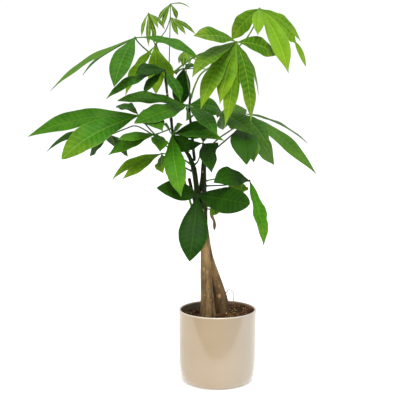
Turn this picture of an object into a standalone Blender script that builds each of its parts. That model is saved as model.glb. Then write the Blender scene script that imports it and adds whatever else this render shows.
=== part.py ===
"""Potted money tree (Pachira): a plain glazed pot, its soil, two twisted woody trunks,
the green shoots that grow from them, and the hand-shaped leaves on their long stalks.

Metres, +Z up. The origin is the centre of the pot's flat base, and the plant's front
faces -Y. Each leaf (stalk, hub and leaflets) grew as one piece, so it is one object.
"""

import math

import bmesh
import bpy
from mathutils import Vector

MM = 0.001

# Pot: a slightly tapered cylinder with a rounded foot and a flat base.
POT_HEIGHT = 0.1416
POT_RIM_R = 0.0750
POT_WALL = 0.0040
POT_BASE_R = 0.0570
POT_FOOT_ROUND = 0.0145
POT_FOOT_TALL = 0.0230
POT_FLOOR = 0.0080
POT_SIDES = 44

# Soil fills the pot to a little under the rim.
SOIL_TOP = 0.1312
SOIL_GAP = 0.0006
SOIL_SIDES = 32
POCKET_DEPTH = 0.026  # how deep the trunks go into the soil
POCKET_GAP = 0.0006

GAP = 0.0005  # left between a stalk's foot and the stem it grows from
STALK_SIDES = 6
LEAFLET_STEPS = 6
LEAF_HALF_THICKNESS = 0.00055

# The crown is set out on a squared front sheet. The sheet is square to the line of
# sight from EYE, which looks down by LOOK_DOWN. Squares are counted right (u) and up
# (v) from the middle of the pot's base, and SHEET is the eye's distance from the sheet
# in squares. The third number is the depth in mm, behind (+) or in front of (-) the
# pot's axis. A square is about 1.95 mm at the pot's axis.
EYE = Vector((-0.0185, -1.500, 0.509))
LOOK_DOWN = math.radians(6.5)
SHEET = 789.0
SHEET_CENTRE = (-10.0, 183.0)


def at(u, v, depth_mm):
    """The point at this place on the sheet and at this depth."""
    a = (u - SHEET_CENTRE[0]) / SHEET
    b = (SHEET_CENTRE[1] - v) / SHEET
    c, s = math.cos(LOOK_DOWN), math.sin(LOOK_DOWN)
    ray = Vector((a, c - b * s, -s - b * c))
    return EYE + ray * ((depth_mm * MM - EYE.y) / ray.y)


# Stems: (u, v, depth mm, radius mm) from the foot up.
STEMS = {
    "trunk_front": [
        (-10.0, 74, -12, 15.4),
        (-10.6, 87, -12, 13.4),
        (-11.3, 100, -11, 11.8),
        (-11.9, 113, -10, 10.6),
        (-12.3, 128, -9, 9.6),
        (-13.0, 146, -8, 8.6),
        (-14.2, 162, -8, 7.8),
        (-14.4, 177, -8, 7.3),
        (-13.9, 186, -8, 6.8),
        (-13.7, 191, -8, 5.4),
    ],
    "trunk_right": [
        (5.0, 77, 8, 14.4),
        (2.7, 92, 9, 13.4),
        (-1.3, 108, 9, 10.6),
        (-5.6, 122, 9, 9.2),
        (-9.4, 134, 10, 8.7),
        (-11.6, 146, 9.5, 8.4),
        (-13.2, 158, 9, 8.1),
        (-15.0, 170, 8.5, 8.0),
        (-15.4, 186, 8, 8.0),
        (-15.4, 202, 5, 7.6),
        (-14.7, 213, 3, 5.8),
        (-14.4, 224, 2, 4.9),
        (-13.6, 234, 2, 3.8),
        (-12.6, 240, 2, 2.8),
    ],
    "shoot_left": [
        (-20.2, 186, -6, 4.8),
        (-20.9, 197, -5, 5.0),
        (-22.0, 208, -4, 5.0),
        (-23.6, 219, -2, 4.9),
        (-26.0, 228, 0, 4.4),
        (-29.5, 236, 0, 3.7),
        (-34.0, 242, 0, 3.2),
        (-39.0, 247.5, 0, 3.0),
        (-43.5, 253, 0, 2.8),
        (-45.7, 261, 0, 2.7),
        (-47.0, 273, 0, 2.6),
        (-49.5, 286, 0, 2.5),
        (-51.0, 299, 0, 2.4),
        (-52.5, 311, 0, 2.3),
        (-54.0, 322, 0, 2.2),
        (-56.5, 333, 0, 2.0),
        (-60.0, 341, 0, 1.7),
        (-62.0, 347, 0, 1.3),
    ],
    "shoot_middle": [
        (-23.4, 231.5, 1, 2.9),
        (-24.6, 241, 0, 2.9),
        (-25.5, 251, 0, 2.7),
        (-26.5, 263, 0, 2.5),
        (-28.0, 273, 0, 2.4),
        (-28.7, 283, 0, 2.3),
        (-28.0, 291, 0, 2.1),
        (-27.5, 295, 0, 1.7),
    ],
    "pruned_stub": [
        (-18.7, 180, -13.5, 2.7),
        (-22.6, 186, -17, 2.7),
        (-24.6, 194, -18, 2.8),
        (-26.4, 202, -18, 2.9),
        (-28.6, 211.5, -16, 3.1),
    ],
    "dry_twig": [
        (-9.6, 182.0, -9.3, 1.2),
        (-8.4, 181.4, -9.5, 1.2),
        (-6.6, 178.6, -10, 2.0),
        (-4.9, 172, -12, 2.7),
        (-4.0, 166.5, -13, 2.5),
        (-2.8, 162, -13, 2.0),
    ],
}
STEM_SIDES = {"trunk_front": 14, "trunk_right": 14, "shoot_left": 8, "shoot_middle": 8, "pruned_stub": 8, "dry_twig": 7}
TRUNKS = ("trunk_front", "trunk_right")

# A thin dry rootlet loops out of the right trunk and back into the soil behind it.
ROOTLET = [(8.2, 98, 14, 0.9), (10.4, 101.2, 16, 0.8), (13.4, 100.4, 20, 0.7), (15.8, 96.8, 25, 0.7), (15.4, 91.5, 29, 0.7), (14.6, 86.6, 30, 0.8)]

# Leaves: tone, stem, hub place, stalk route from the hub to the stem, stalk radii (hub,
# foot) in mm, and the leaflets. A leaflet is: tip place (u, v, depth), width mm, the
# way its upper face looks (bearing from the front, + to the right, and pitch up, in
# degrees), and how far its middle stands off the straight line from hub to tip, in mm:
# to the upper face's side, and to its own left.
LEAVES = {
    "leaf_01_tip": ("young", "shoot_left", (-47.5, 387, -10),
        [(-48.3, 350, -9), (-49.2, 320, -9), (-51.0, 303, -6)], (0.9, 1.3), [
        (-60, 368, -24, 9, -10, 45, 3, 2),
        (-55.5, 362.4, -22, 9, 0, 35, 2, 2),
        (-42, 371, 2, 10, 10, 40, 3, -2),
        (-28, 383, -2, 7, 0, 70, 5, 0),
    ]),
    "leaf_02_young": ("young", "shoot_left", (-47.5, 373.5, 14),
        [(-51.5, 362, 12), (-57, 354, 8), (-61, 348.5, 3)], (0.9, 1.2), [
        (-39.5, 355, 6, 9, 10, 30, 2, 1),
        (-32, 356, 8, 10, 0, 30, 2, -1),
        (-22, 356, 18, 10, 0, 40, 4, -2),
    ]),
    "leaf_03_young": ("young", "shoot_left", (-69.5, 377.6, 2),
        [(-66, 364, 12), (-65, 352, 9), (-63.5, 342, 4)], (1.0, 1.3), [
        (-76.5, 354, -6, 8, -20, 30, 2, 2),
        (-69.5, 344, -14, 9, 0, 25, 3, 0),
        (-62.5, 349, -3, 9, 14, 34, 2, -1),
        (-59.5, 362, -10, 8, 0, 40, 2, -1),
        (-53, 361, -2, 9, 20, 40, 3, -3),
    ]),
    "leaf_04_upper_left": ("mid", "shoot_left", (-83, 353.5, -30),
        [(-80, 349, -22), (-75, 344, -8), (-66, 336, 6), (-56.5, 325, 5)], (1.3, 1.7), [
        (-169, 299, -50, 44, 0, 72, 9, 0),
        (-136, 315, 0, 30, 0, 70, 7, 0),
        (-104, 304, -130, 42, -5, 42, 8, 2),
        (-17, 330, -62, 34, 0, 62, 16, 0),
    ]),
    "leaf_05_lime": ("lime", "shoot_left", (-63, 345, -13),
        [(-61.6, 343, -5)], (1.3, 1.5), [
        (-92.6, 295, -22, 34, -40, 30, 6, 3),
        (-62, 297, -36, 32, 10, 30, 4, 0),
        (-46, 303, -40, 28, 30, 35, 4, 0),
    ]),
    "leaf_06_shaded": ("dark", "shoot_left", (-53, 321, -58),
        [(-51.5, 309, -52), (-50.6, 299, -34), (-50.8, 297, -5)], (1.3, 1.5), [
        (-82, 317, -100, 38, 0, 42, 6, 0),
        (-74, 297, -98, 24, -35, 20, 4, 3),
        (-112.6, 291.5, -110, 34, -10, 62, 10, 0),
        (-37, 289, -90, 28, 30, 40, 5, 0),
    ]),
    "leaf_07_young": ("young", "shoot_middle", (-33.5, 340.6, 12),
        [(-33, 332, 16), (-31.5, 318, 14), (-29.8, 306, 7), (-28.6, 298, 0)], (0.8, 1.2), [
        (-39.5, 327, 4, 10, 0, 30, 2, 0),
        (-35, 323, -2, 11, 0, 25, 2, 0),
        (-28, 326, 0, 11, 10, 30, 2, 0),
        (-22, 330, 14, 9, 10, 40, 2, 0),
    ]),
    "leaf_08_shaded": ("dark", "shoot_middle", (-34, 322, 40),
        [(-29.5, 307, 30), (-27.6, 291.5, 8)], (1.3, 1.6), [
        (-39.5, 285, 55, 36, 0, 10, 4, -1),
        (-42, 316, 95, 22, 0, 50, 4, 0),
        (-21, 325, 98, 24, 0, 50, 4, 0),
        (-5.5, 320, 48, 14, 0, 86, 3, 0),
    ]),
    "leaf_09_right_front": ("lime", "shoot_left", (18.5, 349, -60),
        [(6, 346, -56), (-9, 340, -50), (-21, 335.5, -40), (-36, 325.6, -18), (-49.8, 311.5, 2)], (1.4, 1.8), [
        (-25, 355, -130, 44, 0, 38, 7, 1),
        (-26, 313.5, -138, 40, -20, 45, 8, 4),
        (-17.5, 281, -128, 39, -25, 35, 8, 4),
        (1.6, 286, -112, 35, -10, 35, 6, 0),
        (6.5, 262.5, -112, 32, 35, 25, 6, 0),
        (33, 269, -92, 34, 35, 25, 6, -4),
        (40.5, 295, 38, 30, 50, 30, 6, -5),
        (60.5, 335, 10, 40, 0, 24, 6, -4),
        (51.5, 347, 25, 30, 0, 68, 4, 0),
    ]),
    "leaf_10_top_right": ("lime", "shoot_middle", (41.5, 382.5, 30),
        [(41, 376, 32), (28, 352, 26), (4, 331, 13), (-15, 319, 8), (-22, 308, 5), (-25.2, 293, 1)], (1.4, 1.8), [
        (13.5, 351, 60, 43, -20, 20, 5, 2),
        (39.7, 355, -40, 26, 30, 50, 5, 3),
        (70.5, 317, -34, 38, 0, 20, 7, -6),
        (83, 349, 108, 36, 0, 38, 6, -8),
        (88, 324, 80, 34, 20, 42, 8, -13),
    ]),
    "leaf_11_centre": ("mid", "shoot_middle", (-31, 286, -25),
        [(-29.2, 284, -6)], (1.3, 1.5), [
        (-101, 290, -42, 42, 0, 54, 9, 2),
        (-84, 267.5, -119, 48, 0, 45, 7, -4),
        (0, 255, -115, 36, 20, 40, 8, 0),
        (-32, 270, -85, 18, 70, 20, 3, 0),
        (3, 280, 52, 44, 0, 25, 10, 0),
    ]),
    "leaf_12_left_long": ("mid", "shoot_left", (-78.7, 275.6, -35),
        [(-71, 265, -24), (-60.5, 254.3, -12), (-51, 248.6, -7), (-40, 236, -6), (-29.5, 225.5, -4)], (1.4, 1.7), [
        (-190.5, 254, -40, 54, 0, 48, 13, 5),
        (-156.5, 231.5, -95, 56, 0, 42, 12, 4),
        (-60, 281, 20, 22, 0, 60, 4, 0),
        (-55, 259.5, -135, 44, 15, 45, 6, 0),
        (-102, 285, 35, 30, 0, 55, 6, 0),
    ]),
    "leaf_13_left_back": ("dark", "shoot_left", (-108, 256, 28),
        [(-93, 262, 26), (-82, 265, 22), (-68, 258, 16), (-57, 250, 10), (-45, 238, 8), (-34, 224.5, 5), (-27.5, 218.5, 3)], (1.2, 1.6), [
        (-172.4, 238, 20, 30, 0, 66, 22, 0),
        (-128.5, 234, 75, 34, 0, 40, 5, 0),
        (-103, 243, 95, 34, 0, 30, 5, 0),
        (-90, 234, 75, 24, 0, 40, 4, 0),
    ]),
    "leaf_14_left_centre": ("mid", "shoot_left", (-61, 257, -42),
        [(-53, 260, -24), (-47.6, 262.5, -5)], (1.2, 1.5), [
        (-101, 251, -95, 32, 0, 60, 4, 0),
        (-110.5, 235.5, -75, 40, 0, 60, 6, 0),
        (-58, 239, -92, 34, 20, 30, 4, 0),
    ]),
    "leaf_15_left_low": ("lime", "trunk_front", (-56.5, 237.5, -14),
        [(-50, 236, -12), (-42, 227, -10), (-34.5, 214, -10), (-31.5, 203, -11), (-28.6, 192, -10), (-25, 182, -9), (-19.5, 174, -9)], (1.3, 3.0), [
        (-96, 211.5, -60, 25, 0, 50, 4, 0),
        (-106.4, 210, -10, 27, 0, 52, 11, 4),
        (-54.6, 217, -75, 28, -30, 20, 3, 0),
    ]),
    "leaf_16_front_centre": ("fresh", "shoot_left", (-46, 257, -20),
        [(-45.4, 257.5, -7)], (1.3, 1.5), [
        (-36.6, 193.5, -100, 40, 0, 20, 6, 3),
        (7, 250, -92, 34, 0, 60, 5, 0),
        (-28, 239, -40, 34, 0, 0, 2, 0),
        (-5, 263, -42, 36, 0, 20, 2, 0),
        (-55, 267, -60, 18, 0, 30, 2, 0),
        (-35, 267, -55, 18, 0, 30, 2, 0),
    ]),
    "leaf_17_right_centre": ("grey", "shoot_middle", (3, 279, 5),
        [(-6, 281.5, -10), (-13, 283, -17), (-19.5, 279.5, -14), (-25.4, 274, -2)], (1.2, 1.5), [
        (35, 256, -75, 42, 0, 35, 6, 0),
        (5, 261, 75, 24, 0, 10, 3, 0),
        (17, 263, 72, 30, 0, 20, 4, 0),
        (29, 281, 88, 34, 0, 30, 5, 0),
        (-1, 273, -25, 14, 0, 30, 2, 0),
    ]),
    "leaf_18_right_long": ("grey", "trunk_right", (22, 278, 30),
        [(19, 266, 22), (2, 253.5, 10), (-6.5, 245.8, 5), (-11, 240, 3)], (1.4, 1.6), [
        (51.4, 243, -30, 38, 0, 45, 11, 0),
        (90.4, 247, 70, 38, 0, 78, 12, 0),
        (99, 216, 5, 38, 0, 58, 20, 5),
        (56.5, 225.5, 120, 42, 0, 30, 6, 0),
    ]),
    "leaf_19_right_hanging": ("dark", "trunk_right", (24, 265, -5),
        [(13.8, 256, -2), (5.7, 249, 0), (-6, 239, 1), (-12.2, 232.6, 2)], (1.4, 1.6), [
        (28.6, 226, -115, 52, 0, 30, 8, 0),
        (36, 228, -84, 40, 15, 30, 6, 0),
    ]),
    "leaf_20_inner": ("dark", "shoot_left", (-15, 248, -14),
        [(-17.5, 238, -7), (-20, 230, -4), (-23, 226, -2)], (1.1, 1.4), [
        (-6.3, 218, -100, 34, 10, 20, 5, 0),
        (-2, 238, -50, 36, 0, 30, 3, 0),
        (-11, 273, -16, 34, 0, 20, 2, 0),
        (-39, 243, -24, 24, 0, 25, 2, 0),
    ]),
    "leaf_21_right_low": ("dark", "trunk_right", (31.6, 210.4, -30),
        [(20, 208, -20), (8.6, 206, -12), (-10.5, 204.5, -1)], (1.3, 1.5), [
        (-4.4, 208, -105, 44, 0, 28, 6, 7),
        (45.7, 145, -60, 33, 38, 10, 6, -1),
    ]),
    "leaf_22_right_under": ("lime", "trunk_right", (25, 208, 12),
        [(8, 213, 9), (-3, 212, 5), (-9.5, 209.5, 3)], (1.1, 1.4), [
        (9.5, 202, 15, 26, 0, 50, 3, 0),
        (21.5, 197, -10, 28, 0, 20, 3, 0),
    ]),
    "leaf_23_front_low": ("dark", "trunk_front", (-20.5, 196.5, -32),
        [(-17.6, 191, -17)], (1.6, 1.9), [
        (-61.5, 203, -85, 44, 0, 28, 6, -3),
        (-28.5, 129.5, -112, 54, 0, 20, 8, -1),
        (32, 187, -130, 52, 0, 20, 8, 3),
    ]),
    "leaf_24_small_low": ("lime", "trunk_front", (3, 186, -40),
        [(-3, 185, -28), (-8.8, 184, -14)], (1.0, 1.3), [
        (-8, 175.6, -45, 20, 0, 30, 2, 0),
    ]),
}

TONES = {
    "young": (0.16, 0.30, 0.05),
    "lime": (0.22, 0.38, 0.04),
    "fresh": (0.12, 0.34, 0.04),
    "mid": (0.09, 0.25, 0.04),
    "grey": (0.13, 0.22, 0.09),
    "dark": (0.03, 0.11, 0.015),
}


def clear_scene():
    for obj in list(bpy.data.objects):
        bpy.data.objects.remove(obj, do_unlink=True)


def material(name, colour, roughness, metallic=0.0):
    mat = bpy.data.materials.get(name) or bpy.data.materials.new(name)
    mat.use_nodes = True
    shader = mat.node_tree.nodes["Principled BSDF"]
    shader.inputs["Base Color"].default_value = (*colour, 1.0)
    shader.inputs["Roughness"].default_value = roughness
    shader.inputs["Metallic"].default_value = metallic
    return mat


def new_object(name, points, faces, mat, smooth=True, flat_faces=False):
    mesh = bpy.data.meshes.new(name)
    mesh.from_pydata([tuple(p) for p in points], [], faces)
    mesh.validate()
    bm = bmesh.new()
    bm.from_mesh(mesh)
    bmesh.ops.recalc_face_normals(bm, faces=bm.faces)
    if flat_faces:
        bmesh.ops.triangulate(bm, faces=bm.faces)
    bm.to_mesh(mesh)
    bm.free()
    if smooth:
        mesh.shade_smooth()
        mesh.set_sharp_from_angle(angle=math.radians(50))
    obj = bpy.data.objects.new(name, mesh)
    bpy.context.scene.collection.objects.link(obj)
    mesh.materials.append(mat)
    return obj


def smooth_route(points, per_span):
    """Catmull-Rom points through tuples of numbers, per_span to each span."""
    ends = [[2 * a - b for a, b in zip(points[0], points[1])]] + [list(p) for p in points]
    ends.append([2 * a - b for a, b in zip(points[-1], points[-2])])
    out = []
    for i in range(1, len(ends) - 2):
        p0, p1, p2, p3 = ends[i - 1 : i + 3]
        for k in range(per_span):
            t = k / per_span
            out.append([
                0.5 * (2 * b + (c - a) * t + (2 * a - 5 * b + 4 * c - d) * t**2 + (3 * b - a - 3 * c + d) * t**3)
                for a, b, c, d in zip(p0, p1, p2, p3)
            ])
    out.append(list(points[-1]))
    return out


def tube(route, sides):
    """Closed tube along (Vector, radius) pairs, as points and faces."""
    points, faces = [], []
    side = None
    for i, (centre, radius) in enumerate(route):
        ahead = route[min(i + 1, len(route) - 1)][0] - route[max(i - 1, 0)][0]
        ahead.normalize()
        if side is None:
            side = ahead.orthogonal().normalized()
        side = (side - ahead * side.dot(ahead)).normalized()
        other = ahead.cross(side)
        for k in range(sides):
            angle = 2 * math.pi * k / sides
            points.append(centre + (side * math.cos(angle) + other * math.sin(angle)) * radius)
    for i in range(len(route) - 1):
        for k in range(sides):
            a, b = i * sides + k, i * sides + (k + 1) % sides
            faces.append((a, b, b + sides, a + sides))
    faces.append(tuple(reversed(range(sides))))
    last = (len(route) - 1) * sides
    faces.append(tuple(range(last, last + sides)))
    return points, faces


def lathe(profile, sides):
    """Closed solid turned from (r, z) pairs that start and end on the axis."""
    points, faces, rings = [], [], []
    for r, z in profile:
        if r == 0:
            rings.append([len(points)])
            points.append(Vector((0, 0, z)))
            continue
        rings.append(list(range(len(points), len(points) + sides)))
        for k in range(sides):
            angle = 2 * math.pi * k / sides
            points.append(Vector((r * math.cos(angle), r * math.sin(angle), z)))
    for low, high in zip(rings, rings[1:]):
        for k in range(sides):
            n = (k + 1) % sides
            if len(low) == 1:
                faces.append((low[0], high[k], high[n]))
            elif len(high) == 1:
                faces.append((low[k], low[n], high[0]))
            else:
                faces.append((low[k], low[n], high[n], high[k]))
    return points, faces


def stem_route(name, per_span=1):
    """(Vector, radius) along a stem, from its foot."""
    route = []
    for u, v, depth, radius in smooth_route(STEMS[name], per_span):
        route.append((at(u, v, depth), radius * MM))
    return route


def seat(point, stem, radius):
    """The point moved out from the stem's middle line until a foot of this radius clears its bark."""
    best = None
    route = stem_route(stem, 3)
    for (a, ra), (b, rb) in zip(route, route[1:]):
        t = min(1.0, max(0.0, (point - a).dot(b - a) / (b - a).length_squared))
        near, r = a.lerp(b, t), ra + (rb - ra) * t
        if best is None or (point - near).length < (point - best[0]).length:
            best = (near, r)
    near, r = best
    return near + (point - near).normalized() * (r + radius + GAP)


def half_width(t):
    """Half of a leaflet's width at t along it, as a share of its full width."""
    shape = ((0.0, 0.035), (0.06, 0.05), (0.15, 0.14), (0.3, 0.32), (0.45, 0.455), (0.6, 0.5), (0.74, 0.43), (0.86, 0.26), (0.94, 0.10), (1.0, 0.0))
    for (t0, w0), (t1, w1) in zip(shape, shape[1:]):
        if t <= t1:
            return w0 + (w1 - w0) * (t - t0) / (t1 - t0)
    return 0.0


def leaflet(hub, tip, width, bearing, pitch, rise, side_bow, start_at):
    """A leaflet as a closed blade: thick along its midrib, sharp at its edges."""
    along = tip - hub
    g, f = math.radians(bearing), math.radians(pitch)
    face = Vector((math.sin(g) * math.cos(f), -math.cos(g) * math.cos(f), math.sin(f)))
    axis = along.normalized()
    up = (face - axis * face.dot(axis)).normalized()
    across = axis.cross(up)
    steps = (0.0, 0.13, 0.32, 0.55, 0.76, 0.92)[:LEAFLET_STEPS]
    points, faces = [], []
    start = axis * start_at

    def middle(t):
        return hub + start + (along - start) * t + (up * rise + across * side_bow) * (4 * t * (1 - t))

    for t in steps:
        ahead = (middle(t + 0.01) - middle(t - 0.01)).normalized()
        out = (across - ahead * across.dot(ahead)).normalized()
        top = out.cross(ahead)
        w = half_width(t) * width
        thick = LEAF_HALF_THICKNESS * (1.25 - 0.7 * t)
        fold = 0.12 * w
        centre = middle(t)
        points += [centre - out * w + top * fold, centre - top * thick, centre + out * w + top * fold, centre + top * thick]
    for i in range(len(steps) - 1):
        for k in range(4):
            a, b = i * 4 + k, i * 4 + (k + 1) % 4
            faces.append((a, b, b + 4, a + 4))
    faces.append((3, 2, 1, 0))
    end = len(points)
    points.append(tip)
    for k in range(4):
        faces.append((end - 4 + k, end - 4 + (k + 1) % 4, end))
    return points, faces


def make_pot():
    inner_r = POT_RIM_R - POT_WALL
    profile = [(0, 0), (POT_BASE_R - 0.006, 0), (POT_BASE_R, 0.0)]
    for k in range(1, 6):
        a = math.radians(-90 + 15 * k)
        profile.append((
            POT_BASE_R + POT_FOOT_ROUND * math.cos(a),
            POT_FOOT_TALL * (1 + math.sin(a)),
        ))
    profile += [
        (POT_RIM_R - 0.0020, 0.032), (POT_RIM_R - 0.0012, 0.060), (POT_RIM_R - 0.0004, 0.100),
        (POT_RIM_R, POT_HEIGHT - 0.0016),
        (POT_RIM_R - 0.0009, POT_HEIGHT - 0.0003), (POT_RIM_R - POT_WALL / 2, POT_HEIGHT),
        (inner_r + 0.0007, POT_HEIGHT - 0.0005), (inner_r, POT_HEIGHT - 0.0022),
        (inner_r - 0.0008, 0.100), (inner_r - 0.0022, 0.036), (POT_BASE_R - 0.001, POT_FLOOR + 0.006),
        (POT_BASE_R - 0.007, POT_FLOOR), (0, POT_FLOOR),
    ]
    points, faces = lathe(profile, POT_SIDES)
    new_object("pot", points, faces, material("pot_glaze", (0.60, 0.52, 0.42), 0.22))


def pot_inner_r(z):
    """The pot's inner radius at height z, less the soil's gap."""
    inner_r = POT_RIM_R - POT_WALL
    rows = ((POT_FLOOR, POT_BASE_R - 0.007), (POT_FLOOR + 0.006, POT_BASE_R - 0.001), (0.036, inner_r - 0.0022), (0.100, inner_r - 0.0008), (POT_HEIGHT, inner_r))
    for (z0, r0), (z1, r1) in zip(rows, rows[1:]):
        if z <= z1:
            return (r0 + (r1 - r0) * (z - z0) / (z1 - z0)) * math.cos(math.pi / POT_SIDES) - SOIL_GAP
    return inner_r - SOIL_GAP


def soil_height(x, y):
    """The soil's low mounds, banked up towards the right."""
    mounds = 0.0012 * math.sin(95 * x + 0.8) * math.cos(80 * y - 0.5) + 0.0008 * math.sin(170 * x - 140 * y)
    return SOIL_TOP + 0.055 * x + 0.012 * y + mounds


def make_soil():
    z0 = POT_FLOOR + SOIL_GAP
    rows = [(0, z0), (pot_inner_r(POT_FLOOR + 0.001) - 0.001, z0), (pot_inner_r(POT_FLOOR + 0.005) - 0.001, POT_FLOOR + 0.006), (pot_inner_r(0.036), 0.036), (pot_inner_r(0.10), 0.100)]
    edge = pot_inner_r(0.125)
    rows += [(edge, 0.125), (edge * 0.97, SOIL_TOP), (edge * 0.75, SOIL_TOP), (edge * 0.5, SOIL_TOP), (edge * 0.25, SOIL_TOP), (0, SOIL_TOP)]
    points, faces = lathe(rows, SOIL_SIDES)
    for p in points:
        if p.z >= SOIL_TOP - 1e-9:
            p.z = soil_height(p.x, p.y)
    soil = new_object("soil", points, faces, material("soil_mix", (0.11, 0.065, 0.035), 0.95))
    for name in TRUNKS:
        foot, radius = stem_route(name)[0]
        hole = [(foot.copy(), radius + POCKET_GAP), (foot.copy(), radius + POCKET_GAP)]
        hole[0][0].z, hole[1][0].z = SOIL_TOP - POCKET_DEPTH - POCKET_GAP, SOIL_TOP + 0.012
        points, faces = tube(hole, 16)
        cutter = new_object(name + "_pocket", points, faces, material("soil_mix", (0.11, 0.065, 0.035), 0.95))
        cutter.hide_render = True
        cutter.display_type = "WIRE"
        cut = soil.modifiers.new(name, "BOOLEAN")
        cut.operation = "DIFFERENCE"
        cut.solver = "EXACT"
        cut.object = cutter


def make_stems():
    bark = material("bark", (0.25, 0.17, 0.10), 0.85)
    green = material("green_stem", (0.05, 0.10, 0.03), 0.6)
    dry = material("dry_wood", (0.22, 0.14, 0.07), 0.8)
    mats = {"trunk_front": bark, "trunk_right": bark, "shoot_left": green, "shoot_middle": green, "pruned_stub": dry, "dry_twig": dry}
    for name in STEMS:
        route = stem_route(name)
        if name in TRUNKS:
            # A straight foot goes down into the soil, round like the pocket it stands in.
            foot, radius = route[0]
            low, top = foot.copy(), foot.copy()
            low.z, top.z = SOIL_TOP - POCKET_DEPTH, SOIL_TOP + 0.0035
            route = [(low, radius * 0.96), (top, radius * 0.96)] + [r for r in route[1:]]
        points, faces = tube(route, STEM_SIDES[name])
        new_object(name, points, faces, mats[name])


def make_rootlet():
    route = [(at(u, v, d), r * MM) for u, v, d, r in smooth_route(ROOTLET, 2)]
    foot = seat(route[0][0], "trunk_right", route[0][1])
    route[0] = (foot, route[0][1])
    end = route[-1][0]
    end.z = soil_height(end.x, end.y) + 0.0006
    points, faces = tube(route, 6)
    new_object("dry_rootlet", points, faces, material("dry_rootlet", (0.55, 0.42, 0.26), 0.8))


def join_solids(name, pieces, mat):
    """One closed body from overlapping closed pieces, by exact unions."""
    base = new_object(name, *pieces[0], mat, flat_faces=True)
    helpers = []
    for i, (points, faces) in enumerate(pieces[1:]):
        other = new_object(f"{name}_{i}", points, faces, mat, flat_faces=True)
        other.hide_render = True
        helpers.append(other)
        union = base.modifiers.new(f"join_{i}", "BOOLEAN")
        union.operation = "UNION"
        union.solver = "EXACT"
        union.object = other
    bpy.context.view_layer.update()
    graph = bpy.context.evaluated_depsgraph_get()
    joined = bpy.data.meshes.new_from_object(base.evaluated_get(graph))
    base.modifiers.clear()
    base.data = joined
    joined.name = name
    for other in helpers:
        mesh = other.data
        bpy.data.objects.remove(other, do_unlink=True)
        bpy.data.meshes.remove(mesh)
    return base


def make_leaf(name):
    tone, stem, hub_place, stalk, (hub_r, foot_r), leaflets = LEAVES[name]
    mat = material("leaf_" + tone, TONES[tone], 0.45)
    hub = at(*hub_place)
    route_places = [(*hub, hub_r * 1.1)] + [(*at(*p), 0.0) for p in stalk]
    count = len(route_places) - 1
    foot = seat(Vector(route_places[-1][:3]), stem, foot_r * MM)
    route_places[-1] = (*foot, 0.0)
    route = []
    places = smooth_route(route_places, 2 if count > 1 else 1)
    for i, (x, y, z, _) in enumerate(places):
        share = i / (len(places) - 1)
        route.append((Vector((x, y, z)), (hub_r + (foot_r - hub_r) * share**2) * MM))
    bm = bmesh.new()
    bmesh.ops.create_icosphere(bm, subdivisions=1, radius=hub_r * 1.55 * MM)
    ball = ([v.co + hub for v in bm.verts], [tuple(v.index for v in f.verts) for f in bm.faces])
    bm.free()
    pieces = [tube(route, STALK_SIDES), ball]
    for i, (u, v, depth, width, bearing, pitch, rise, side_bow) in enumerate(leaflets):
        start_at = hub_r * (0.5 + 0.06 * i) * MM
        pieces.append(leaflet(hub, at(u, v, depth), width * MM, bearing, pitch, rise * MM, side_bow * MM, start_at))
    join_solids(name, pieces, mat)


clear_scene()
make_pot()
make_soil()
make_stems()
make_rootlet()
for leaf_name in LEAVES:
    make_leaf(leaf_name)
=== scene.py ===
"""The looks of the potted money tree: fine leaves, bark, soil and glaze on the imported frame."""

import math
import random

import bmesh
import bpy
import numpy as np
from mathutils import Matrix, Vector, noise
from mathutils.bvhtree import BVHTree


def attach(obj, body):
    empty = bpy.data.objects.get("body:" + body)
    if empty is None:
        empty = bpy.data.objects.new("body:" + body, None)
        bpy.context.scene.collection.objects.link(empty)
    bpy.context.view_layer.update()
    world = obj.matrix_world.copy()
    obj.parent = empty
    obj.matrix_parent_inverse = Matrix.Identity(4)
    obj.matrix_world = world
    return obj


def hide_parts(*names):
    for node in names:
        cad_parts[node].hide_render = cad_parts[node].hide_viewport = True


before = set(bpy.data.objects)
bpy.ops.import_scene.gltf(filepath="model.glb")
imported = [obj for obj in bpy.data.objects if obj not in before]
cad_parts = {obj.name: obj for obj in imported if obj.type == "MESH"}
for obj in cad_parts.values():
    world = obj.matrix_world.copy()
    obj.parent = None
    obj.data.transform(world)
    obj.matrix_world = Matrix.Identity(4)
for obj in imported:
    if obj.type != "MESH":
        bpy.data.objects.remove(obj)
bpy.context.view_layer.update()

MM = 0.001

# The crown is set out on the same front sheet as the CAD: squares right (u) and up (v)
# from the middle of the pot's base, and the depth in mm.
EYE = Vector((-0.0185, -1.500, 0.509))
LOOK_DOWN = math.radians(6.5)
SHEET = 789.0
SHEET_CENTRE = (-10.0, 183.0)


def at(u, v, depth_mm):
    a = (u - SHEET_CENTRE[0]) / SHEET
    b = (SHEET_CENTRE[1] - v) / SHEET
    c, s = math.cos(LOOK_DOWN), math.sin(LOOK_DOWN)
    ray = Vector((a, c - b * s, -s - b * c))
    return EYE + ray * ((depth_mm * MM - EYE.y) / ray.y)


# The camera, at the same eye.
camera = bpy.data.objects.new("camera", bpy.data.cameras.new("camera"))
bpy.context.scene.collection.objects.link(camera)
camera.data.sensor_width = 36.0
camera.data.lens = SHEET / 416 * 36.0
camera.data.clip_start, camera.data.clip_end = 0.05, 50.0
camera.location = EYE
camera.rotation_euler = (math.pi / 2 - LOOK_DOWN, 0, 0)
bpy.context.scene.camera = camera

POT_HEIGHT = 0.1416
POT_RIM_R = 0.0750
POT_WALL = 0.0040
POT_BASE_R = 0.0570
POT_FOOT_ROUND = 0.0145
POT_FOOT_TALL = 0.0230
POT_FLOOR = 0.0080
SOIL_TOP = 0.1312

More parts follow.
